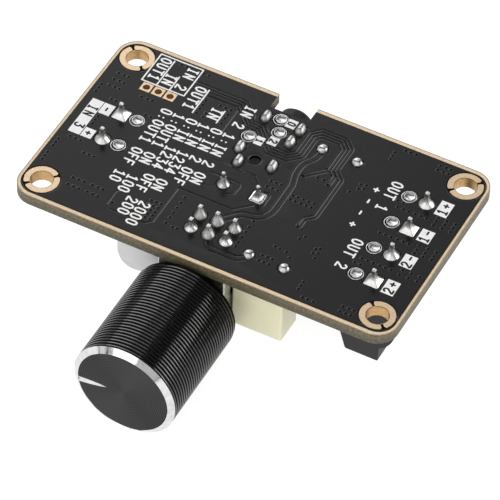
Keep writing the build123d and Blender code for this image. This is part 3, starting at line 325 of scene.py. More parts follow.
# Label blocks: corners, text, and which way it reads
LABELS = [
    (22.6, 24.35, 6.38, 9.04, "1+", 1), (22.6, 24.35, 1.2, 3.41, "1-", 1),
    (22.6, 24.35, -3.82, -1.56, "2-", 1), (22.6, 24.35, -8.99, -6.53, "2+", 1),
    (-25.6, -23.9, -3.36, 3.41, "IN 3", -1),
    (-23.78, -22.2, 1.41, 3.41, "-", -1), (-23.78, -22.25, -3.36, -1.66, "+", -1),
    (-1.3, 0.05, 11.0, 12.55, "0", -1), (-1.95, -0.62, 7.1, 8.6, "2", -1), (-3.5, -2.32, 6.27, 7.8, "1", -1),
]
LABEL_PITCH = 1.2
LABEL_LETTER = 1.25
LABEL_INK_R = 0.135
LABEL_MARGINS = 0.35

# Strokes of each letter, in a box of this width and a height of 1
LETTER_WIDTH = 0.64
GLYPHS = {
    "0": [[(0.1, 0.2), (0.1, 0.8), (0.22, 1), (0.42, 1), (0.54, 0.8), (0.54, 0.2), (0.42, 0), (0.22, 0),
           (0.1, 0.2)]],
    "1": [[(0.16, 0.8), (0.34, 1), (0.34, 0)], [(0.16, 0), (0.52, 0)]],
    "2": [[(0.1, 0.82), (0.22, 1), (0.42, 1), (0.54, 0.82), (0.54, 0.64), (0.1, 0.1), (0.1, 0), (0.54, 0)]],
    "3": [[(0.1, 1), (0.54, 1), (0.3, 0.6), (0.44, 0.58), (0.54, 0.44), (0.54, 0.16), (0.42, 0), (0.22, 0),
           (0.1, 0.14)]],
    "4": [[(0.42, 0), (0.42, 1), (0.08, 0.3), (0.58, 0.3)]],
    "I": [[(0.18, 1), (0.46, 1)], [(0.32, 1), (0.32, 0)], [(0.18, 0), (0.46, 0)]],
    "N": [[(0.1, 0), (0.1, 1), (0.54, 0), (0.54, 1)]],
    "O": [[(0.08, 0.24), (0.08, 0.76), (0.24, 1), (0.4, 1), (0.56, 0.76), (0.56, 0.24), (0.4, 0), (0.24, 0),
           (0.08, 0.24)]],
    "U": [[(0.1, 1), (0.1, 0.2), (0.22, 0), (0.42, 0), (0.54, 0.2), (0.54, 1)]],
    "T": [[(0.06, 1), (0.58, 1)], [(0.32, 1), (0.32, 0)]],
    "F": [[(0.1, 0), (0.1, 1), (0.54, 1)], [(0.1, 0.52), (0.44, 0.52)]],
    ":": [[(0.32, 0.14), (0.32, 0.16)], [(0.32, 0.6), (0.32, 0.62)]],
    "-": [[(0.12, 0.48), (0.52, 0.48)]],
    "+": [[(0.08, 0.48), (0.56, 0.48)], [(0.32, 0.24), (0.32, 0.72)]],
    " ": [],
}

# Floor, in metres
FLOOR_HALF = 3.0
FLOOR_Z = -0.015

# Lights, in metres: name, direction, direction of the length, distance, length, width and radiance
PANELS = [
    ("rear_left", (-0.566, 0.608, 0.557), (-0.701, 0, -0.713), 0.65, 0.45, 0.26, 3.3),
    ("left_low", (-0.782, 0.608, 0.138), (-0.174, 0, -0.985), 0.65, 0.18, 0.26, 0.9),
    ("rear_top", (-0.09, 0.608, 0.789), (-0.994, 0, -0.113), 0.65, 0.33, 0.23, 1.55),
    ("rear_right", (0.734, 0.608, 0.304), (-0.383, 0, 0.924), 0.65, 0.38, 0.26, 4.0),
    ("side_right", (0.9, 0.36, 0.16), (-0.17, 0, 0.98), 0.65, 0.34, 0.22, 3.5),
    ("rear_low", (-0.28, 0.93, 0.22), (1, 0, 0), 0.65, 0.5, 0.22, 1.8),
    ("fill", (0.1, -0.56, 0.82), (1, 0, 0), 0.8, 1.5, 0.9, 1.25),
    ("front", (-0.27, -0.9, 0.34), (1, 0, 0), 0.65, 0.35, 0.2, 1.6),
    ("front_low", (0, -1, 0.19), (1, 0, 0), 0.9, 1.4, 0.3, 0.6),
    ("left", (-0.85, -0.3, 0.4), (0, 1, 0), 0.65, 0.8, 0.45, 0.9),
    ("right", (0.9, -0.25, 0.35), (0, 1, 0), 0.65, 0.8, 0.45, 0.35),
]


# Materials by name: each is a node tree over the object's own coordinates
looks = {}


def new_material(name):
    material = bpy.data.materials.new(name)
    looks[name] = material
    material.use_nodes = True
    tree = material.node_tree
    tree.nodes.clear()
    output = tree.nodes.new("ShaderNodeOutputMaterial")
    shader = tree.nodes.new("ShaderNodeBsdfPrincipled")
    tree.links.new(shader.outputs[0], output.inputs[0])
    return tree, shader


def fill(tree, node, inputs):
    """Link each input of a node to another's output, or set it to a value."""
    for name, value in inputs.items():
        if isinstance(value, bpy.types.NodeSocket):
            tree.links.new(value, node.inputs[name])
        else:
            node.inputs[name].default_value = value


def add_node(tree, kind, inputs, **settings):
    node = tree.nodes.new("ShaderNode" + kind)
    for name, setting in settings.items():
        setattr(node, name, setting)
    fill(tree, node, inputs)
    return node


def own_place(tree):
    return add_node(tree, "TexCoord", {}).outputs["Object"]


def grain(tree, scale, stretch=(1, 1, 1), detail=3.0):
    """Noise over the object's coordinates, in cells of 1 / scale metres."""
    place = add_node(tree, "Mapping", {"Vector": own_place(tree), "Scale": stretch}).outputs["Vector"]
    return add_node(tree, "TexNoise", {"Vector": place, "Scale": scale, "Detail": detail}).outputs["Fac"]


def tint(tree, fac, dark, light, low=0.35, high=0.65):
    ramp = add_node(tree, "ValToRGB", {"Fac": fac})
    for stop, position, colour in zip(ramp.color_ramp.elements, (low, high), (dark, light)):
        stop.position = position
        stop.color = (*colour, 1)
    return ramp.outputs["Color"]


def spread(tree, value, low, high, from_low=0.3, from_high=0.7):
    """A value stretched from one range, which is the middle of a noise's if not given, to another."""
    inputs = {"Value": value, "From Min": from_low, "From Max": from_high, "To Min": low, "To Max": high}
    return add_node(tree, "MapRange", inputs).outputs["Result"]


def bump(tree, height, strength, depth):
    inputs = {"Height": height, "Strength": strength, "Distance": depth}
    return add_node(tree, "Bump", inputs).outputs["Normal"]


def surface(name, dark, light, rough, span=0.08, metal=0.0, scale=1500, stretch=(1, 1, 1), relief=0.3,
            depth=8e-6, specular=0.5, fine=6000):
    """A worn surface: mottled colour, uneven gloss and a fine relief."""
    tree, shader = new_material(name)
    broad = grain(tree, scale, stretch)
    fill(tree, shader, {
        "Base Color": tint(tree, broad, dark, light), "Metallic": metal, "Specular IOR Level": specular,
        "Roughness": spread(tree, broad, rough - span, rough + span),
        "Normal": bump(tree, grain(tree, fine, stretch, 2.0), relief, depth)})


surface("mask", (0.0042, 0.0043, 0.0045), (0.0064, 0.0065, 0.0068), 0.25, 0.03, scale=900, relief=0.15,
        depth=2e-6, specular=0.105)
surface("mask_edge", (0.008, 0.008, 0.0085), (0.011, 0.011, 0.0115), 0.3, 0.03, scale=900, relief=0.15,
        depth=2e-6, specular=0.38)
# the darker band round the edge of the board's face
surface("dark_edge_band", (0.25, 0.215, 0.17), (0.37, 0.32, 0.25), 0.6, 0.06, scale=3000, relief=0.5)
# painted shadow: the dark brown of the strip along the mask's front and right edges
surface("painted_lip_shadow", (0.01, 0.007, 0.004), (0.018, 0.012, 0.007), 0.5, 0.05, scale=3000, specular=0.05)
# painted shade: the darker colour of the sunken gaps, moats and via pits; their dullness is the mask's own
surface("mask_gap", (0.002, 0.002, 0.0022), (0.0035, 0.0035, 0.0037), 0.4, 0.05, specular=0.04)
surface("ink", (0.84, 0.84, 0.83), (0.94, 0.94, 0.93), 0.6, 0.08, scale=4000, relief=0.5, depth=1e-5)
surface("gold", (0.44, 0.322, 0.206), (0.52, 0.396, 0.266), 0.38, 0.06, metal=0.8, scale=2500, relief=0.4)
surface("wall_gold", (0.5, 0.31, 0.13), (0.66, 0.43, 0.195), 0.4, 0.06, metal=0.7, scale=2500, relief=0.15)
# painted shade: a darker brown copy of the gold, for the walls down the header holes
surface("pad_wall", (0.3, 0.155, 0.055), (0.42, 0.235, 0.095), 0.45, 0.06, metal=0.6, scale=2500)
surface("solder", (0.59, 0.58, 0.57), (0.7, 0.69, 0.68), 0.31, 0.04, metal=0.95, scale=2600, relief=0.1,
        depth=4e-6, fine=3000)
surface("mid_solder", (0.48, 0.475, 0.465), (0.6, 0.59, 0.58), 0.28, 0.05, metal=0.95, scale=2600,
        relief=0.15)
surface("dull_solder", (0.28, 0.275, 0.27), (0.4, 0.395, 0.385), 0.33, 0.05, metal=0.95, scale=2600)
surface("tinned_pin", (0.42, 0.42, 0.415), (0.52, 0.52, 0.51), 0.36, 0.05, metal=0.95, scale=2600,
        relief=0.15, depth=4e-6, fine=3000)
surface("tinned_pad", (0.47, 0.47, 0.47), (0.59, 0.59, 0.59), 0.3, 0.04, metal=0.95, scale=2600, relief=0.1,
        depth=4e-6, fine=3000)
surface("tin", (0.55, 0.55, 0.55), (0.74, 0.74, 0.73), 0.3, metal=1.0, scale=3000)
surface("zinc", (0.5, 0.51, 0.53), (0.68, 0.69, 0.7), 0.3, metal=1.0, scale=1800)
surface("nickel", (0.5, 0.5, 0.49), (0.62, 0.62, 0.61), 0.34, 0.05, metal=1.0, scale=700, stretch=(1, 1, 4),
        relief=0.1, depth=4e-6, fine=2500)
surface("aluminium", (0.54, 0.53, 0.54), (0.6, 0.59, 0.6), 0.42, 0.03, metal=0.85, scale=400,
        stretch=(1, 1, 2), relief=0.15, depth=3e-6)
surface("cut_aluminium", (0.63, 0.62, 0.63), (0.74, 0.73, 0.74), 0.11, 0.03, metal=1.0, relief=0.25)
surface("anodised", (0.0013, 0.0013, 0.0014), (0.0021, 0.0021, 0.0022), 0.12, 0.02, relief=0.1, depth=1e-6,
        specular=0.6)
surface("anodised_groove", (0.0012, 0.0012, 0.0013), (0.0018, 0.0018, 0.0019), 0.5, 0.05, relief=0.1,
        depth=2e-6, specular=0.05)
surface("terminal_grey", (0.015, 0.015, 0.016), (0.02, 0.02, 0.0215), 0.5, 0.05, scale=2200, relief=0.5,
        specular=0.3)
surface("black_plastic", (0.01, 0.01, 0.011), (0.018, 0.018, 0.019), 0.42, 0.06, scale=2200, relief=0.4)
surface("phenolic", (0.15, 0.075, 0.03), (0.26, 0.14, 0.06), 0.55, 0.06, stretch=(1, 6, 1))
surface("sleeve", (0.009, 0.01, 0.018), (0.012, 0.014, 0.024), 0.3, 0.04, scale=600, relief=0.12)
surface("rubber", (0.01, 0.01, 0.01), (0.022, 0.022, 0.022), 0.75, 0.05, scale=3000, relief=0.6)
surface("chip_epoxy", (0.016, 0.016, 0.017), (0.028, 0.028, 0.029), 0.6, 0.06, scale=5000, relief=0.6)
surface("resistor", (0.01, 0.01, 0.011), (0.02, 0.02, 0.021), 0.35, 0.05, scale=4000)
surface("ceramic", (0.3, 0.19, 0.1), (0.42, 0.28, 0.16), 0.5, 0.06, scale=3500)
surface("cream", (0.85, 0.82, 0.56), (0.89, 0.86, 0.61), 0.4, 0.03, scale=500, relief=0.12, depth=4e-6,
        fine=2500)


def upward(tree, vector):
    return add_node(tree, "SeparateXYZ", {"Vector": vector}).outputs["Z"]


def rise(tree, low, high):
    """0 below a height of the object and 1 above it, blended from low to high in metres."""
    return spread(tree, upward(tree, own_place(tree)), 0.0, 1.0, low, high)


def blend(tree, factor, first, second):
    inputs = {"Factor": factor, "A": first, "B": second}
    return add_node(tree, "Mix", inputs, data_type="RGBA").outputs["Result"]


def laminate_material():
    """Bare glass-fibre board: tan on its faces, brown over olive layers of cloth on its cut sides."""
    tree, shader = new_material("laminate")
    face = tint(tree, grain(tree, 2500), (0.71, 0.53, 0.345), (0.83, 0.65, 0.445))
    weave = grain(tree, 3200, (1, 1, 2), 5.0)
    lower = tint(tree, weave, (0.045, 0.042, 0.025), (0.14, 0.128, 0.078))
    upper = tint(tree, weave, (0.062, 0.049, 0.024), (0.215, 0.168, 0.088))
    cloth = blend(tree, rise(tree, -0.9 * MM, -0.7 * MM), lower, upper)
    normal = upward(tree, add_node(tree, "NewGeometry", {}).outputs["Normal"])
    upright = add_node(tree, "Math", {0: normal}, operation="ABSOLUTE").outputs[0]
    is_face = add_node(tree, "Math", {0: upright, 1: 0.7}, operation="GREATER_THAN").outputs[0]
    fill(tree, shader, {"Base Color": blend(tree, is_face, cloth, face), "Roughness": 0.55,
                        "Normal": bump(tree, grain(tree, 5000, (1, 1, 4), 4.0), 0.5, 2e-5)})


def socket_material():
    """Black moulding, duller and darker where its peg stands in the board: painted shade in the hole."""
    tree, shader = new_material("socket_plastic_peg_shade")
    broad = grain(tree, 2200)
    body = tint(tree, broad, (0.021, 0.021, 0.022), (0.033, 0.033, 0.034))
    # painted shade: the near-black colour of the peg inside the board's hole
    peg = tint(tree, broad, (0.001, 0.001, 0.0011), (0.002, 0.002, 0.0021))
    in_board = rise(tree, -BOARD_T * MM - 2e-5, -BOARD_T * MM + 2e-5)
    fill(tree, shader, {"Base Color": blend(tree, in_board, body, peg), "Specular IOR Level": 0.12,
                        "Roughness": spread(tree, broad, 0.38, 0.5),
                        "Normal": bump(tree, grain(tree, 6000, detail=2.0), 0.4, 8e-6)})


def turned_material():
    """Black anodised metal with fine marks that run round the shaft's axis."""
    tree, shader = new_material("turned_face")
    tangent = add_node(tree, "Tangent", {}, direction_type="RADIAL", axis="Y").outputs["Tangent"]
    across = {"Vector": own_place(tree), "Location": (-SHAFT_X * MM, 0, -SHAFT_Z * MM), "Scale": (1, 0, 1)}
    place = add_node(tree, "Mapping", across).outputs["Vector"]
    rings = add_node(tree, "TexWave", {"Vector": place, "Scale": 1208, "Distortion": 0.4}, wave_type="RINGS",
                     rings_direction="SPHERICAL").outputs["Fac"]
    colour = tint(tree, rings, (0.025, 0.0245, 0.025), (0.073, 0.071, 0.073), 0.0, 1.0)
    fill(tree, shader, {"Base Color": colour, "Metallic": 1.0, "Roughness": 0.42, "Anisotropic": 0.9,
                        "Tangent": tangent})


laminate_material()
socket_material()
turned_material()


# Meshes, built in millimetres; the two values are for the triangulation
ONLY_INSIDE = 1
SAME_PLACE = 1e-5


def add_object(name, data):
    obj = bpy.data.objects.new(name, data)
    scene.collection.objects.link(obj)
    return obj


def piece(name, verts, faces, materials, slot, body="board", sharp=35, marks=None):
    """A new piece that rides on a body. marks gives each face's material by number."""
    mesh = bpy.data.meshes.new(name)
    mesh.from_pydata([Vector(v) * MM for v in verts], [], faces)
    for material in materials:
        mesh.materials.append(looks[material])
    if marks:
        mesh.polygons.foreach_set("material_index", marks)
    mesh.update()
    mesh.shade_smooth()
    mesh.set_sharp_from_angle(angle=radians(sharp))
    obj = add_object(name, mesh)
    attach(obj, body)
    return obj


def around(x, y, radius, angle):
    """The point of a circle at an angle."""
    return x + radius * cos(angle), y + radius * sin(angle)


def circle(x, y, radius, count):
    return [around(x, y, radius, tau * i / count) for i in range(count)]


def rounded(x0, x1, y0, y1, radius, count=6):
    """A rectangle whose round corners have count steps each."""
    corners = [(x1 - radius, y0 + radius, -90), (x1 - radius, y1 - radius, 0),
               (x0 + radius, y1 - radius, 90), (x0 + radius, y0 + radius, 180)]
    return [around(x, y, radius, radians(start + 90 * i / count))
            for x, y, start in corners for i in range(count + 1)]


def square_ring(x, y, half_x, half_y, count, power):
    """Points of a rectangle with rounded corners, one for each angle; a high power gives sharp corners."""
    points = []
    for i in range(count):
        a = tau * i / count
        c, s = cos(a), sin(a)
        k = (abs(c) ** power + abs(s) ** power) ** (-1 / power)
        points.append((x + half_x * k * c, y + half_y * k * s))
    return points


def capsule(a, b, radius, count=4):
    """A stroke from a to b with round ends."""
    turn = atan2(b[1] - a[1], b[0] - a[0])
    ends = ((b, turn - pi / 2), (a, turn + pi / 2))
    return [around(*end, radius, start + pi * i / count) for end, start in ends for i in range(count + 1)]


def stroke(points, radius):
    return [capsule(a, b, radius) for a, b in zip(points, points[1:])]


def area(outline):
    return sum(a[0] * b[1] - b[0] * a[1] for a, b in zip(outline, outline[1:] + outline[:1])) / 2


def cut_sheet(shapes, height_at):
    """Triangles over every outline: their corners with heights, and the names of the outlines over each."""
    points, loops, tags, levels = [], [], [], []
    for tag, outline, level in shapes:
        if area(outline) < 0:
            outline = outline[::-1]
        loops.append(list(range(len(points), len(points) + len(outline))))
        points += [Vector(p) for p in outline]
        levels += [level] * len(outline)
        tags.append(tag)
    flat, _, cells, origins, _, owners = delaunay_2d_cdt(points, [], loops, ONLY_INSIDE, SAME_PLACE)
    heights = []
    for place, origin in zip(flat, origins):
        level = next((levels[i] for i in origin if levels[i] is not None), None)
        heights.append(height_at(place.x, place.y) if level is None else level)
    return flat, heights, cells, [{tags[k] for k in owner} for owner in owners]


def sheet(name, shapes, height_at, present, base, materials, slot, mark_of=None, turn_over=False, sharp=20):
    """A closed sheet that is there where present(names) says, with a flat underside at base."""
    flat, heights, cells, names = cut_sheet(shapes, height_at)
    verts, index, faces, marks = [], {}, [], []

    def corner(i, z):
        key = (i, z)
        if key not in index:
            index[key] = len(verts)
            verts.append((flat[i].x, flat[i].y, z))
        return index[key]

    rim = {}
    for cell, over in zip(cells, names):
        if not present(over):
            continue
        mark = mark_of([heights[i] for i in cell]) if mark_of else 0
        faces += [[corner(i, heights[i]) for i in cell], [corner(i, base) for i in reversed(cell)]]
        marks += [mark, 0]
        for a, b in zip(cell, cell[1:] + cell[:1]):
            if rim.pop((b, a), None) is None:
                rim[(a, b)] = mark
    for (a, b), mark in rim.items():
        faces.append([corner(b, heights[b]), corner(a, heights[a]), corner(a, base), corner(b, base)])
        marks.append(mark)
    if turn_over:
        verts = [(x, y, -BOARD_T - z) for x, y, z in verts]
        faces = [face[::-1] for face in faces]
    return piece(name, verts, faces, materials, slot, marks=marks, sharp=sharp)


def flat_sheet(name, shapes, height, kept, material, slot="board_black", base=0.0, turn_over=False):
    """A sheet of one height, where the outlines named kept are alone."""
    return sheet(name, shapes, lambda x, y: height, lambda over: over == {kept}, base, [material], slot,
                 turn_over=turn_over)


def off_line(x, y, ax, ay, bx, by):
    """Distance from a point to a straight run."""
    dx, dy = bx - ax, by - ay
    length = dx * dx + dy * dy
    t = 0 if length == 0 else max(0, min(1, ((x - ax) * dx + (y - ay) * dy) / length))
    return hypot(x - ax - t * dx, y - ay - t * dy)


def runs_near(x, y, runs):
    """The distance to each run near a point, with half the run's width."""
    for ax, ay, bx, by, half in runs:
        beside = abs(x - (ax + bx) / 2) <= abs(bx - ax) / 2 + REACH
        if beside and abs(y - (ay + by) / 2) <= abs(by - ay) / 2 + REACH:
            yield off_line(x, y, ax, ay, bx, by), half


def copper_height(x, y):
    """Height of the mask: low in the gaps between the copper areas, with sloped sides."""
    plane = min([1.0] + [away - half for away, half in runs_near(x, y, GAP_RUNS)])
    if plane < SLOPE / 2:
        plane = max([plane] + [half - away for away, half in runs_near(x, y, TRACE_RUNS)])
    share = max(0.0, min(1.0, plane / SLOPE + 0.5))
    return GAP_H + (MASK_H - GAP_H) * share


def skin(sizes):
    """Faces between rows of points, given the number of points of each; a row of one point is a tip."""
    starts = [sum(sizes[:k]) for k in range(len(sizes))]
    faces = []

    def corner(k, i):
        return starts[k] + i % sizes[k]

    for k in range(len(sizes) - 1):
        for i in range(max(sizes)):
            quad = (corner(k, i), corner(k, i + 1), corner(k + 1, i + 1), corner(k + 1, i))
            faces.append(list(dict.fromkeys(quad)))
    return faces


def turned(rings, x, y, count, axis="z", wobble=0.0, seed=0.0):
    """A surface of (radius, height) rings round an axis; it ends in a tip where the radius is 0."""
    sizes = [count if radius else 1 for radius, _ in rings]
    around_rate, up_rate = WOBBLE_RATES
    verts = []
    for (radius, h), size in zip(rings, sizes):
        for i in range(size):
            a = tau * i / count
            place = Vector((cos(a) * around_rate + seed, sin(a) * around_rate, h * up_rate + seed))
            r = radius * (1 + wobble * noise.noise(place))
            u, v = r * cos(a), r * sin(a)
            verts.append((x + u, y + v, h) if axis == "z" else (x + u, h, y - v))
    return verts, skin(sizes)


def joined(parts):
    verts, faces = [], []
    for part_verts, part_faces in parts:
        start = len(verts)
        verts += part_verts
        faces += [[start + i for i in face] for face in part_faces]
    return verts, faces


# Letters
def letters(text, x, y, height, pitch, radius, forward):
    """Strokes of a line that reads along -Y with its tops to +X, or the other way where forward is 1."""
    strokes = []
    for place, letter in enumerate(text):
        for line in GLYPHS[letter]:
            points = []
            for u, v in line:
                along = place * pitch + u * height
                points.append((x - v * height, y + along) if forward > 0 else (x + v * height, y - along))
            strokes += stroke(points, radius)
    return strokes


# Board and mask
def board_outline(half_x, half_y, radius):
    return rounded(-half_x, half_x, -half_y, half_y, radius, 10)


def notch_outline(ease=0.0):
    return rounded(NOTCH_LEFT - ease, NOTCH_RIGHT + ease, NOTCH_Y, NOTCH_OPEN_Y, NOTCH_CORNER_R)


def mask_shapes(corner_level):
    """The mask's outline with its holes; corner_level is the height at the corner holes."""
    shapes = [("board", board_outline(MASK_HALF_X, MASK_HALF_Y, MASK_CORNER_R), None),
              ("hole", notch_outline(), None)]
    shapes += [("hole", circle(x, y, HOLE_R + HOLE_CLEAR, 40), corner_level) for x, y in HOLES]
    shapes += [("hole", circle(x, y, HEADER_R, 20), None) for x, y in HEADER]
    shapes.append(("hole", circle(*PEG, PEG_HOLE_R, 28), None))
    return shapes


def pads():
    """Each pad's place, its shape and half its size."""
    places = [(x, y, kind, TERMINAL_PAD) for (x, y), kind in zip(TERMINAL_PINS, TERMINAL_SHAPES)]
    places += [(x, y, "round", POT_PAD) for x, y in POT_PINS]
    places += [(x, y, "round", FILM_PAD) for x, y in FILM_PINS]
    places += [(x, y, *pad) for (x, y), pad in zip(RADIAL_PINS, RADIAL_PADS)]
    places += [(x, y, "round", WIRE_PAD) for x, y in WIRE_PADS + SOCKET_PADS]
    places += [(x, y, "oval", OVAL_HALF_X) for x, y in JACK_PINS]
    return places


def pad_outline(x, y, kind, size, margin):
    if kind == "square":
        return rounded(x - size - margin, x + size + margin, y - size - margin, y + size + margin,
                       SQUARE_CORNER_R + margin, 2)
    if kind == "oval":
        return square_ring(x, y, OVAL_HALF_X + margin, OVAL_HALF_Y + margin, 32, 2.6)
    return circle(x, y, size + margin, 24)


def mask_look(levels):
    """Dull in the gaps and the vias, and darker there as painted shade; glossy where the mask is thin over an
    edge of the copper.
    """
    if max(levels) < GAP_H + GAP_LOOK or min(levels) < GAP_H - GAP_LOOK:
        return 1
    return 2 if max(levels) - min(levels) > EDGE_LOOK else 0


def solder_mask():
    """The mask of the solder side, with the relief of the copper under it."""
    shapes = mask_shapes(GAP_H)
    shapes += [("step", circle(*PEG, PEG_HOLE_R + out, 28), level) for out, level in PEG_DISH]
    moat = RING_R + RING_MOAT
    ring_steps = [(moat + RING_MOAT_SLOPE, MASK_H), (moat, GAP_H), (RING_R - UNDER_METAL, GAP_H)]
    for x, y in HOLES:
        shapes += [("step", circle(x, y, radius, 56), level) for radius, level in ring_steps]
    pad_steps = [(PAD_MOAT + PAD_MOAT_SLOPE, MASK_H), (PAD_MOAT, GAP_H), (-UNDER_METAL, GAP_H)]
    for pad in pads():
        shapes += [("step", pad_outline(*pad, margin), level) for margin, level in pad_steps]
    half = SLOPE / 2
    slopes = [(points, (width + MOAT, width)) for points, width in TRACES]
    slopes += [(points, (GROOVE_R,)) for points in GROOVES]
    for points, widths in slopes:
        for radius in (r + side for r in widths for side in (half, -half)):
            shapes += [("step", outline, None) for outline in stroke(points, radius)]
    for x, y in VIAS:
        shapes += [("step", circle(x, y, radius, 10), level) for radius, level in VIA_RINGS]
    sheet("solder_mask", shapes, copper_height, lambda over: "board" in over and "hole" not in over, 0.0,
          ["mask", "mask_gap", "mask_edge"], "board_black", mask_look, sharp=6)


def dark_edge_band():
    """A darker band round the edge of the board's face."""
    inside = board_outline(BOARD_HALF_X - EDGE_BAND_W, BOARD_HALF_Y - EDGE_BAND_W, BOARD_CORNER_R - EDGE_BAND_W)
    shapes = [("board", board_outline(BOARD_HALF_X, BOARD_HALF_Y, BOARD_CORNER_R), None),
              ("inside", inside, None), ("hole", notch_outline(NOTCH_EASE), None)]
    flat_sheet("dark_edge_band", shapes, EDGE_BAND_H, "board", "dark_edge_band")


def painted_lip_shadow():
    """A thin dark brown strip at the mask's edge, which shows along the front and the right: painted shadow
    of that edge.
    """
    outline = board_outline(MASK_HALF_X + LIP_OUT, MASK_HALF_Y + LIP_OUT, MASK_CORNER_R)
    moved = [(x - LIP_W, y + LIP_W) for x, y in board_outline(MASK_HALF_X, MASK_HALF_Y, MASK_CORNER_R)]
    shapes = [("board", outline, None), ("inside", moved, None), ("hole", LIP_CUT, None)]
    flat_sheet("painted_lip_shadow", shapes, MASK_H + LIP_UP, "board", "painted_lip_shadow")


def peg_lining():
    """The mask's rounded lip and dark wall in the hole of the socket's peg; the dark wall is painted shade.
    """
    rings = [(PEG_HOLE_R + out, z) for out, z in PEG_LINING]
    # painted shade: the dark wall down the hole
    piece("peg_hole_shade_lining", *turned(rings, *PEG, 32), ["mask_gap"], "board_black")


def rear_mask():
    flat_sheet("component_side_mask", mask_shapes(REAR_MASK_T), REAR_MASK_T, "board", "mask", turn_over=True)


def ink():
    """White print: lines of text, rules, and solid labels with the letters left out."""
    shapes = []
    for text, x, y, height in LEGEND:
        shapes += [("ink", s, INK_H) for s in letters(text, x, y, height, LETTER_PITCH, INK_R, -1)]
    for points in RULES:
        shapes += [("ink", s, INK_H) for s in stroke(points, RULE_R)]
    for x0, x1, y0, y1, text, forward in LABELS:
        shapes.append(("ink", [(x0, y0), (x1, y0), (x1, y1), (x0, y1)], INK_H))
        height = min(LABEL_LETTER, x1 - x0 - LABEL_MARGINS)
        length = (len(text) - 1) * LABEL_PITCH + LETTER_WIDTH * height
        margin = (x1 - x0 - height) / 2
        x = x1 - margin if forward > 0 else x0 + margin
        y = (y0 + y1 - length) / 2 if forward > 0 else (y0 + y1 + length) / 2
        shapes += [("mark", s, INK_H) for s in letters(text, x, y, height, LABEL_PITCH, LABEL_INK_R, forward)]
    flat_sheet("ink", shapes, INK_H, "ink", "ink", base=INK_BASE)


# Metal on the board
def corner_rings():
    """Two C halves with round ends on the face, and the plated wall of the hole."""
    shapes = []
    outside = HOLE_R + PLATING_T
    start = (HOLE_R, -BOARD_T)
    wall = [start, (outside, -BOARD_T), (outside, METAL_H), (HOLE_R, METAL_H), start]
    for x, y in HOLES:
        shapes += [("ring", circle(x, y, RING_R, 72), METAL_H - RING_EDGE_H),
                   ("ring", circle(x, y, RING_R - RING_EDGE_W, 72), METAL_H),
                   ("hole", circle(x, y, HOLE_R, 72), METAL_H)]
        turn = 45 if x * y > 0 else 135
        for side in (0, 180):
            angle = radians(turn + side)
            inner = around(x, y, HOLE_R - SLIT_OVERRUN, angle)
            outer = around(x, y, RING_R + SLIT_OVERRUN, angle)
            shapes.append(("slit", capsule(inner, outer, RING_GAP / 2, 6), None))
            shapes += [("slit", ear_cut(x, y, angle, flank), None) for flank in (-1, 1)]
    rings = flat_sheet("corner_ring_halves", shapes, METAL_H, "ring", "gold", "gold_plating")
    walls = joined([turned(wall, x, y, 72) for x, y in HOLES])
    piece("corner_hole_walls", *walls, ["wall_gold"], "gold_plating")
    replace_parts(rings, "mounting_rings")


def ear_cut(x, y, angle, flank):
    """What is cut from a ring's end so that it is round: the corner outside a quarter circle."""
    ux, uy = cos(angle), sin(angle)
    vx, vy = -uy * flank, ux * flank
    half = RING_GAP / 2 - EAR_INTO_SLIT
    far = RING_R + RING_EDGE_W
    centre_u, centre_v = far - EAR_R, half + EAR_R
    points = [(far + EAR_BEYOND, half), (centre_u, half)]
    for i in range(1, 6):
        b = pi / 2 * i / 6
        points.append((centre_u + EAR_R * sin(b), centre_v - EAR_R * cos(b)))
    points += [(far, centre_v), (far + EAR_BEYOND, centre_v)]
    return [(x + ux * u + vx * v, y + uy * u + vy * v) for u, v in points]


def header_walls():
    outside, inside, top = HEADER_WALL
    start = (outside, -BOARD_T)
    wall = [start, (outside, top), (inside, top), (inside, -BOARD_T), start]
    walls = joined([turned(wall, x, y, 24) for x, y in HEADER])
    # painted shade: the walls take the darker brown copy of the gold
    piece("header_hole_walls", *walls, ["pad_wall"], "gold_plating")


# Solder
def ripple(angle, z, around_rate, up_rate, seed):
    """Smooth noise round an axis; each joint has its own seed."""
    place = (cos(angle) * around_rate + seed, sin(angle) * around_rate - seed, z * up_rate)
    return noise.noise(Vector(place))


def rippled(share, z, angle, broad, fine, seed):
    """A share of the way out with its broad and fine ripples, which die away at the rim."""
    both = broad[0] * ripple(angle, z, *broad[1:], seed) + fine[0] * ripple(angle, z, *fine[1:], -seed)
    return share * (1 + both * (1 - share))


def drawn_up(core, rim, profile, share_at):
    """A closed skin between a core and a rim of as many points, whose rows share_at moves in or out."""
    count = len(rim)
    verts = []
    for share, z in profile:
        for i, ((cx, cy), (rx, ry)) in enumerate(zip(core, rim)):
            out = share_at(share, z, tau * i / count)
            verts.append((cx + (rx - cx) * out, cy + (ry - cy) * out, z))
    ends = [list(range(len(verts) - count, len(verts))), list(range(count))[::-1]]
    return verts, skin([count] * len(profile)) + ends


def fillet_joint(x, y, kind, size, profile, neck, seed):
    """Solder drawn up a pin from a square or a round pad."""
    count = 64
    rim = square_ring(x, y, size, size, count, 16) if kind == "square" else circle(x, y, size, count)

    def share_at(share, z, angle):
        out = rippled(share, z, angle, FILLET_BROAD, FILLET_FINE, seed)
        if kind == "square":
            out *= 1 - SQUARE_PINCH * (1 - share) * (1 - abs(cos(2 * angle)))
        return out

    return drawn_up(square_ring(x, y, *neck, count, 5), rim, profile, share_at)


def flat_joint(x, y, seed):
    """Solder over a flat leg: a long mound with a ridge along the leg, its foot a little to the front."""
    count = 40
    dx, dy = FLAT_SHIFT
    rim = square_ring(x + dx, y + dy, OVAL_HALF_X - FLAT_INSET, OVAL_HALF_Y, count, 2.8)
    return drawn_up(square_ring(x, y, *FLAT_LEG, count, 5), rim, FLAT,
                    lambda share, z, angle: rippled(share, z, angle, FLAT_BROAD, FLAT_FINE, seed))


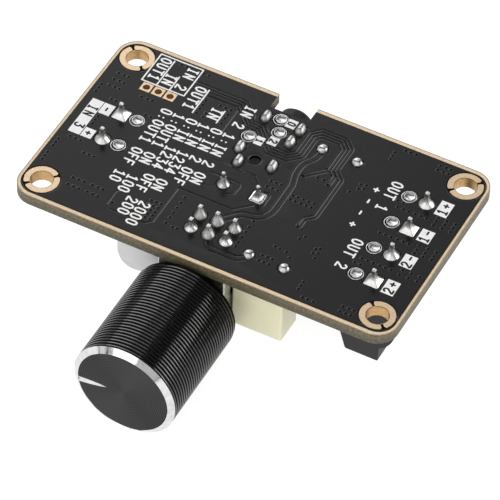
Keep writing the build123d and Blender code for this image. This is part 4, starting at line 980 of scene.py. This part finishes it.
def dome(x, y, seed):
    rings = [(FILM_PAD * out, DOME_H * up) for out, up in DOME]
    return turned(rings, x, y, 32, wobble=DOME_WOBBLE, seed=seed)


def soldered_ring(x, y, seed):
    """A tinned ring round a hole that is full of solder: rim, dark gap and a bowl a little to one side."""
    dx, dy = BOWL_SHIFT
    bowl = turned(BOWL, x + dx, y + dy, 40, wobble=BOWL_WOBBLE, seed=seed)
    return joined([turned(TINNED_RIM, x, y, 40), bowl])


def solder_piece(name, parts, materials, sharp=60, marks=None):
    return piece(name, *joined(parts), materials, "solder", sharp=sharp, marks=marks)


def terminal_joints():
    parts = [fillet_joint(*pin, kind, TERMINAL_PAD, CONE, TERMINAL_NECK, seed)
             for pin, kind, seed in zip(TERMINAL_PINS, TERMINAL_SHAPES, TERMINAL_SEEDS)]
    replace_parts(solder_piece("terminal_joints", parts, ["solder"]), "terminal_solder")


def pot_joints():
    parts = [fillet_joint(*pin, "round", POT_JOINT, profile, POT_NECK, 3.1 + 1.9 * i)
             for i, (pin, profile) in enumerate(zip(POT_PINS, POT_PROFILES))]
    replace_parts(solder_piece("pot_joints", parts, ["solder"]), "pot_solder")


def capacitor_joints():
    """Low domes of the film capacitors and tall, brighter joints of the radial one."""
    domes = [dome(x, y, 2.3 * i) for i, (x, y) in enumerate(FILM_PINS)]
    tall = [fillet_joint(*pin, kind, size, profile, RADIAL_NECK, seed)
            for pin, (kind, size, profile, seed) in zip(RADIAL_PINS, RADIAL_JOINTS)]
    marks = [mark for mark, parts in enumerate((domes, tall)) for _, faces in parts for _ in faces]
    joints = solder_piece("capacitor_joints", domes + tall, ["mid_solder", "solder"], marks=marks)
    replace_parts(joints, "capacitor_solder")


def socket_joints():
    parts = [flat_joint(x, y, 1.3 * i) for i, (x, y) in enumerate(JACK_PINS)]
    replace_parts(solder_piece("socket_joints", parts, ["dull_solder"]), "jack_solder")


def wire_pad_rings():
    parts = [soldered_ring(x, y, 1.1 * i) for i, (x, y) in enumerate(WIRE_PADS + SOCKET_PADS)]
    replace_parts(solder_piece("wire_pad_rings", parts, ["tinned_pad"], sharp=70), "wire_pads")


# Knob
def knob():
    """Turned shell: a ringed barrel and a bright cut chamfer."""
    count = 128
    inner = KNOB_R - KNOB_WALL
    crest = KNOB_R - CREST_INSET
    behind_face = KNOB_FACE_Y + KNOB_FACE_T
    rings = [(KNOB_BORE_R, behind_face), (inner, behind_face), (inner, KNOB_REAR_Y)]
    rear_row = len(rings)
    rings += [(KNOB_R - inset, KNOB_REAR_Y - ahead) for inset, ahead in REAR_EDGE]
    ridge_row = len(rings)
    front = KNOB_FACE_Y + FRONT_EDGE[0][1]
    rear = KNOB_REAR_Y - REAR_EDGE[-1][1]
    step = (rear - front) / RIDGES
    for k in range(RIDGES):
        y = rear - (k + 0.5) * step
        rings += [(crest - drop, y - across * step) for across, drop in RIDGE]
    rings += [(KNOB_R - inset, KNOB_FACE_Y + back) for inset, back in FRONT_EDGE]
    chamfer_row = len(rings) - 3
    verts, faces = turned(rings, SHAFT_X, SHAFT_Z, count, "y")
    marks = [0] * len(faces)
    marks[rear_row * count:ridge_row * count] = [2] * ((ridge_row - rear_row) * count)
    for row in range(RIDGES * len(RIDGE)):
        here = RIDGE[row % len(RIDGE)][0]
        beyond = RIDGE[(row + 1) % len(RIDGE)][0]
        if min(abs(here), abs(beyond)) >= CREST_HALF:
            start = (ridge_row + row) * count
            marks[start:start + count] = [2] * count
    marks[chamfer_row * count:(chamfer_row + 2) * count] = [1] * (2 * count)
    materials = ["anodised", "cut_aluminium", "anodised_groove"]
    barrel = piece("knob_barrel", verts, faces, materials, "black_anodised", "knob", 40, marks)
    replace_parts(barrel, "knob_shell")


def knob_face():
    """The front disc with its turning marks, and a groove from the rim that narrows to a point."""
    angle = radians(POINTER_ANGLE)
    inset, depth = FRONT_EDGE[-1]
    radius = KNOB_R - inset
    shapes = []
    for k in range(int(radius / FACE_MARK)):
        r = radius - FACE_MARK * k
        count = 96 if r > FINE_BEYOND else 48
        shapes.append(("disc", circle(0, 0, r, count), 0.0 if k % 2 else -FACE_MARK_DEPTH))

    def placed(points):
        return [(u * cos(angle) - v * sin(angle), u * sin(angle) + v * cos(angle)) for u, v in points]

    bottom = [(u, POINTER_FLOOR) for u, _ in POINTER] + [(u, -POINTER_FLOOR) for u, _ in POINTER[::-1]]
    shapes.append(("cut", placed(POINTER + [(u, -half) for u, half in POINTER[:0:-1]]), 0.0))
    shapes.append(("line", placed(bottom), 0.0))

    def height_at(x, y):
        """Depth of the groove: a shallow V whose width and depth grow towards the rim."""
        u = x * cos(angle) + y * sin(angle)
        v = abs(-x * sin(angle) + y * cos(angle))
        for (u0, half0), (u1, half1) in zip(POINTER, POINTER[1:]):
            if u0 <= u <= u1:
                half = half0 + (half1 - half0) * (u - u0) / (u1 - u0)
                return -POINTER_SLOPE * max(0.0, half - v)
        return 0.0

    flat, heights, cells, names = cut_sheet(shapes, height_at)
    grooves = [height_at(place.x, place.y) for place in flat]
    heights = [groove if groove < -POINTER_LEAST else height for groove, height in zip(grooves, heights)]
    disc = [(list(cell), over) for cell, over in zip(cells, names) if "disc" in over]
    used = sorted({i for cell, _ in disc for i in cell})
    renumber = {old: new for new, old in enumerate(used)}
    verts = [(SHAFT_X + flat[i].x, KNOB_FACE_Y + depth - heights[i], SHAFT_Z + flat[i].y) for i in used]
    faces = [[renumber[i] for i in cell] for cell, _ in disc]
    marks = [1 if "cut" in over else 0 for _, over in disc]
    piece("knob_face", verts, faces, ["turned_face", "cut_aluminium"], "black_anodised", "knob", 15, marks)


# Materials of the CAD nodes that stay
def dress_nodes():
    """Each node takes the first material that has a word of the node's name."""
    words_of = [
        ("laminate", "circuit_board"), ("gold", "header_pads"), ("terminal_grey", "terminal_housing"),
        ("socket_plastic_peg_shade", "jack_housing"), ("sleeve", "radial_capacitor_can"), ("rubber", "bung"),
        ("tin", "chip_legs contact spring switch tabs ends"), ("tinned_pin", "pins legs leads"),
        ("nickel", "cage frame bushing"), ("zinc", "screw"), ("phenolic", "wafer"),
        ("aluminium", "shaft chip_capacitor_can"), ("black_plastic", "insert housing cover rotor base"),
        ("cream", "film_capacitor"), ("chip_epoxy", "amplifier_chip"), ("resistor", "resistors"),
        ("ceramic", "ceramic"),
    ]
    for name, node in frame["nodes"].items():
        fitting = [look for look, words in words_of if any(word in name for word in words.split())]
        if fitting:
            for slot in node.material_slots:
                slot.material = looks[fitting[0]]


# Camera, floor and lights
def stand(name, data, place, axes):
    """A new object at a place, turned so that its own axes lie along three directions."""
    obj = add_object(name, data)
    obj.matrix_world = Matrix.Translation(place) @ Matrix(axes).transposed().to_4x4()
    return obj


def camera():
    """The photo's camera, whose place and directions were fitted to the holes and the edges."""
    data = bpy.data.cameras.new("camera")
    data.lens = 286.847
    data.sensor_width = 36
    right = Vector((0.884649, 0.46563, 0.02417))
    down = Vector((0.356771, -0.642632, -0.678041))
    look = Vector((-0.300183, 0.608451, -0.734627))
    place = Vector((156.432, -317.524, 370.596)) * MM
    scene.camera = stand("camera", data, place, (right, -down, -look))


def floor():
    tree, shader = new_material("floor")
    speckle = tint(tree, grain(tree, 300), (0.29, 0.29, 0.29), (0.31, 0.31, 0.31))
    fill(tree, shader, {"Base Color": speckle, "Roughness": 0.9, "Specular IOR Level": 0.1,
                        "Emission Color": (1, 1, 1, 1), "Emission Strength": 0.9})
    mesh = bpy.data.meshes.new("floor")
    corners = [(-1, -1), (1, -1), (1, 1), (-1, 1)]
    mesh.from_pydata([(x * FLOOR_HALF, y * FLOOR_HALF, FLOOR_Z) for x, y in corners], [], [[0, 1, 2, 3]])
    mesh.materials.append(looks["floor"])
    obj = add_object("floor", mesh)


def world():
    surroundings = bpy.data.worlds.new("world")
    surroundings.use_nodes = True
    tree = surroundings.node_tree
    fill(tree, tree.nodes["Background"], {"Color": (1, 1, 1, 1), "Strength": 0.04})
    scene.world = surroundings
    scene.view_settings.view_transform = "Standard"


def panel(name, aim, along, distance, length, width, radiance):
    """A soft light that the object sees in direction aim, its length along a given direction."""
    data = bpy.data.lights.new(name, "AREA")
    data.shape = "RECTANGLE"
    data.size = length
    data.size_y = width
    data.energy = radiance * pi * length * width
    back = Vector(aim).normalized()
    side = Vector(along)
    side = (side - back * back.dot(side)).normalized()
    stand(name, data, back * distance, (side, back.cross(side), back)).visible_camera = False


dress_nodes()
solder_mask()
painted_lip_shadow()
peg_lining()
dark_edge_band()
rear_mask()
ink()
corner_rings()
header_walls()
terminal_joints()
pot_joints()
capacitor_joints()
socket_joints()
wire_pad_rings()
knob()
knob_face()
camera()
floor()
world()
for values in PANELS:
    panel(*values)
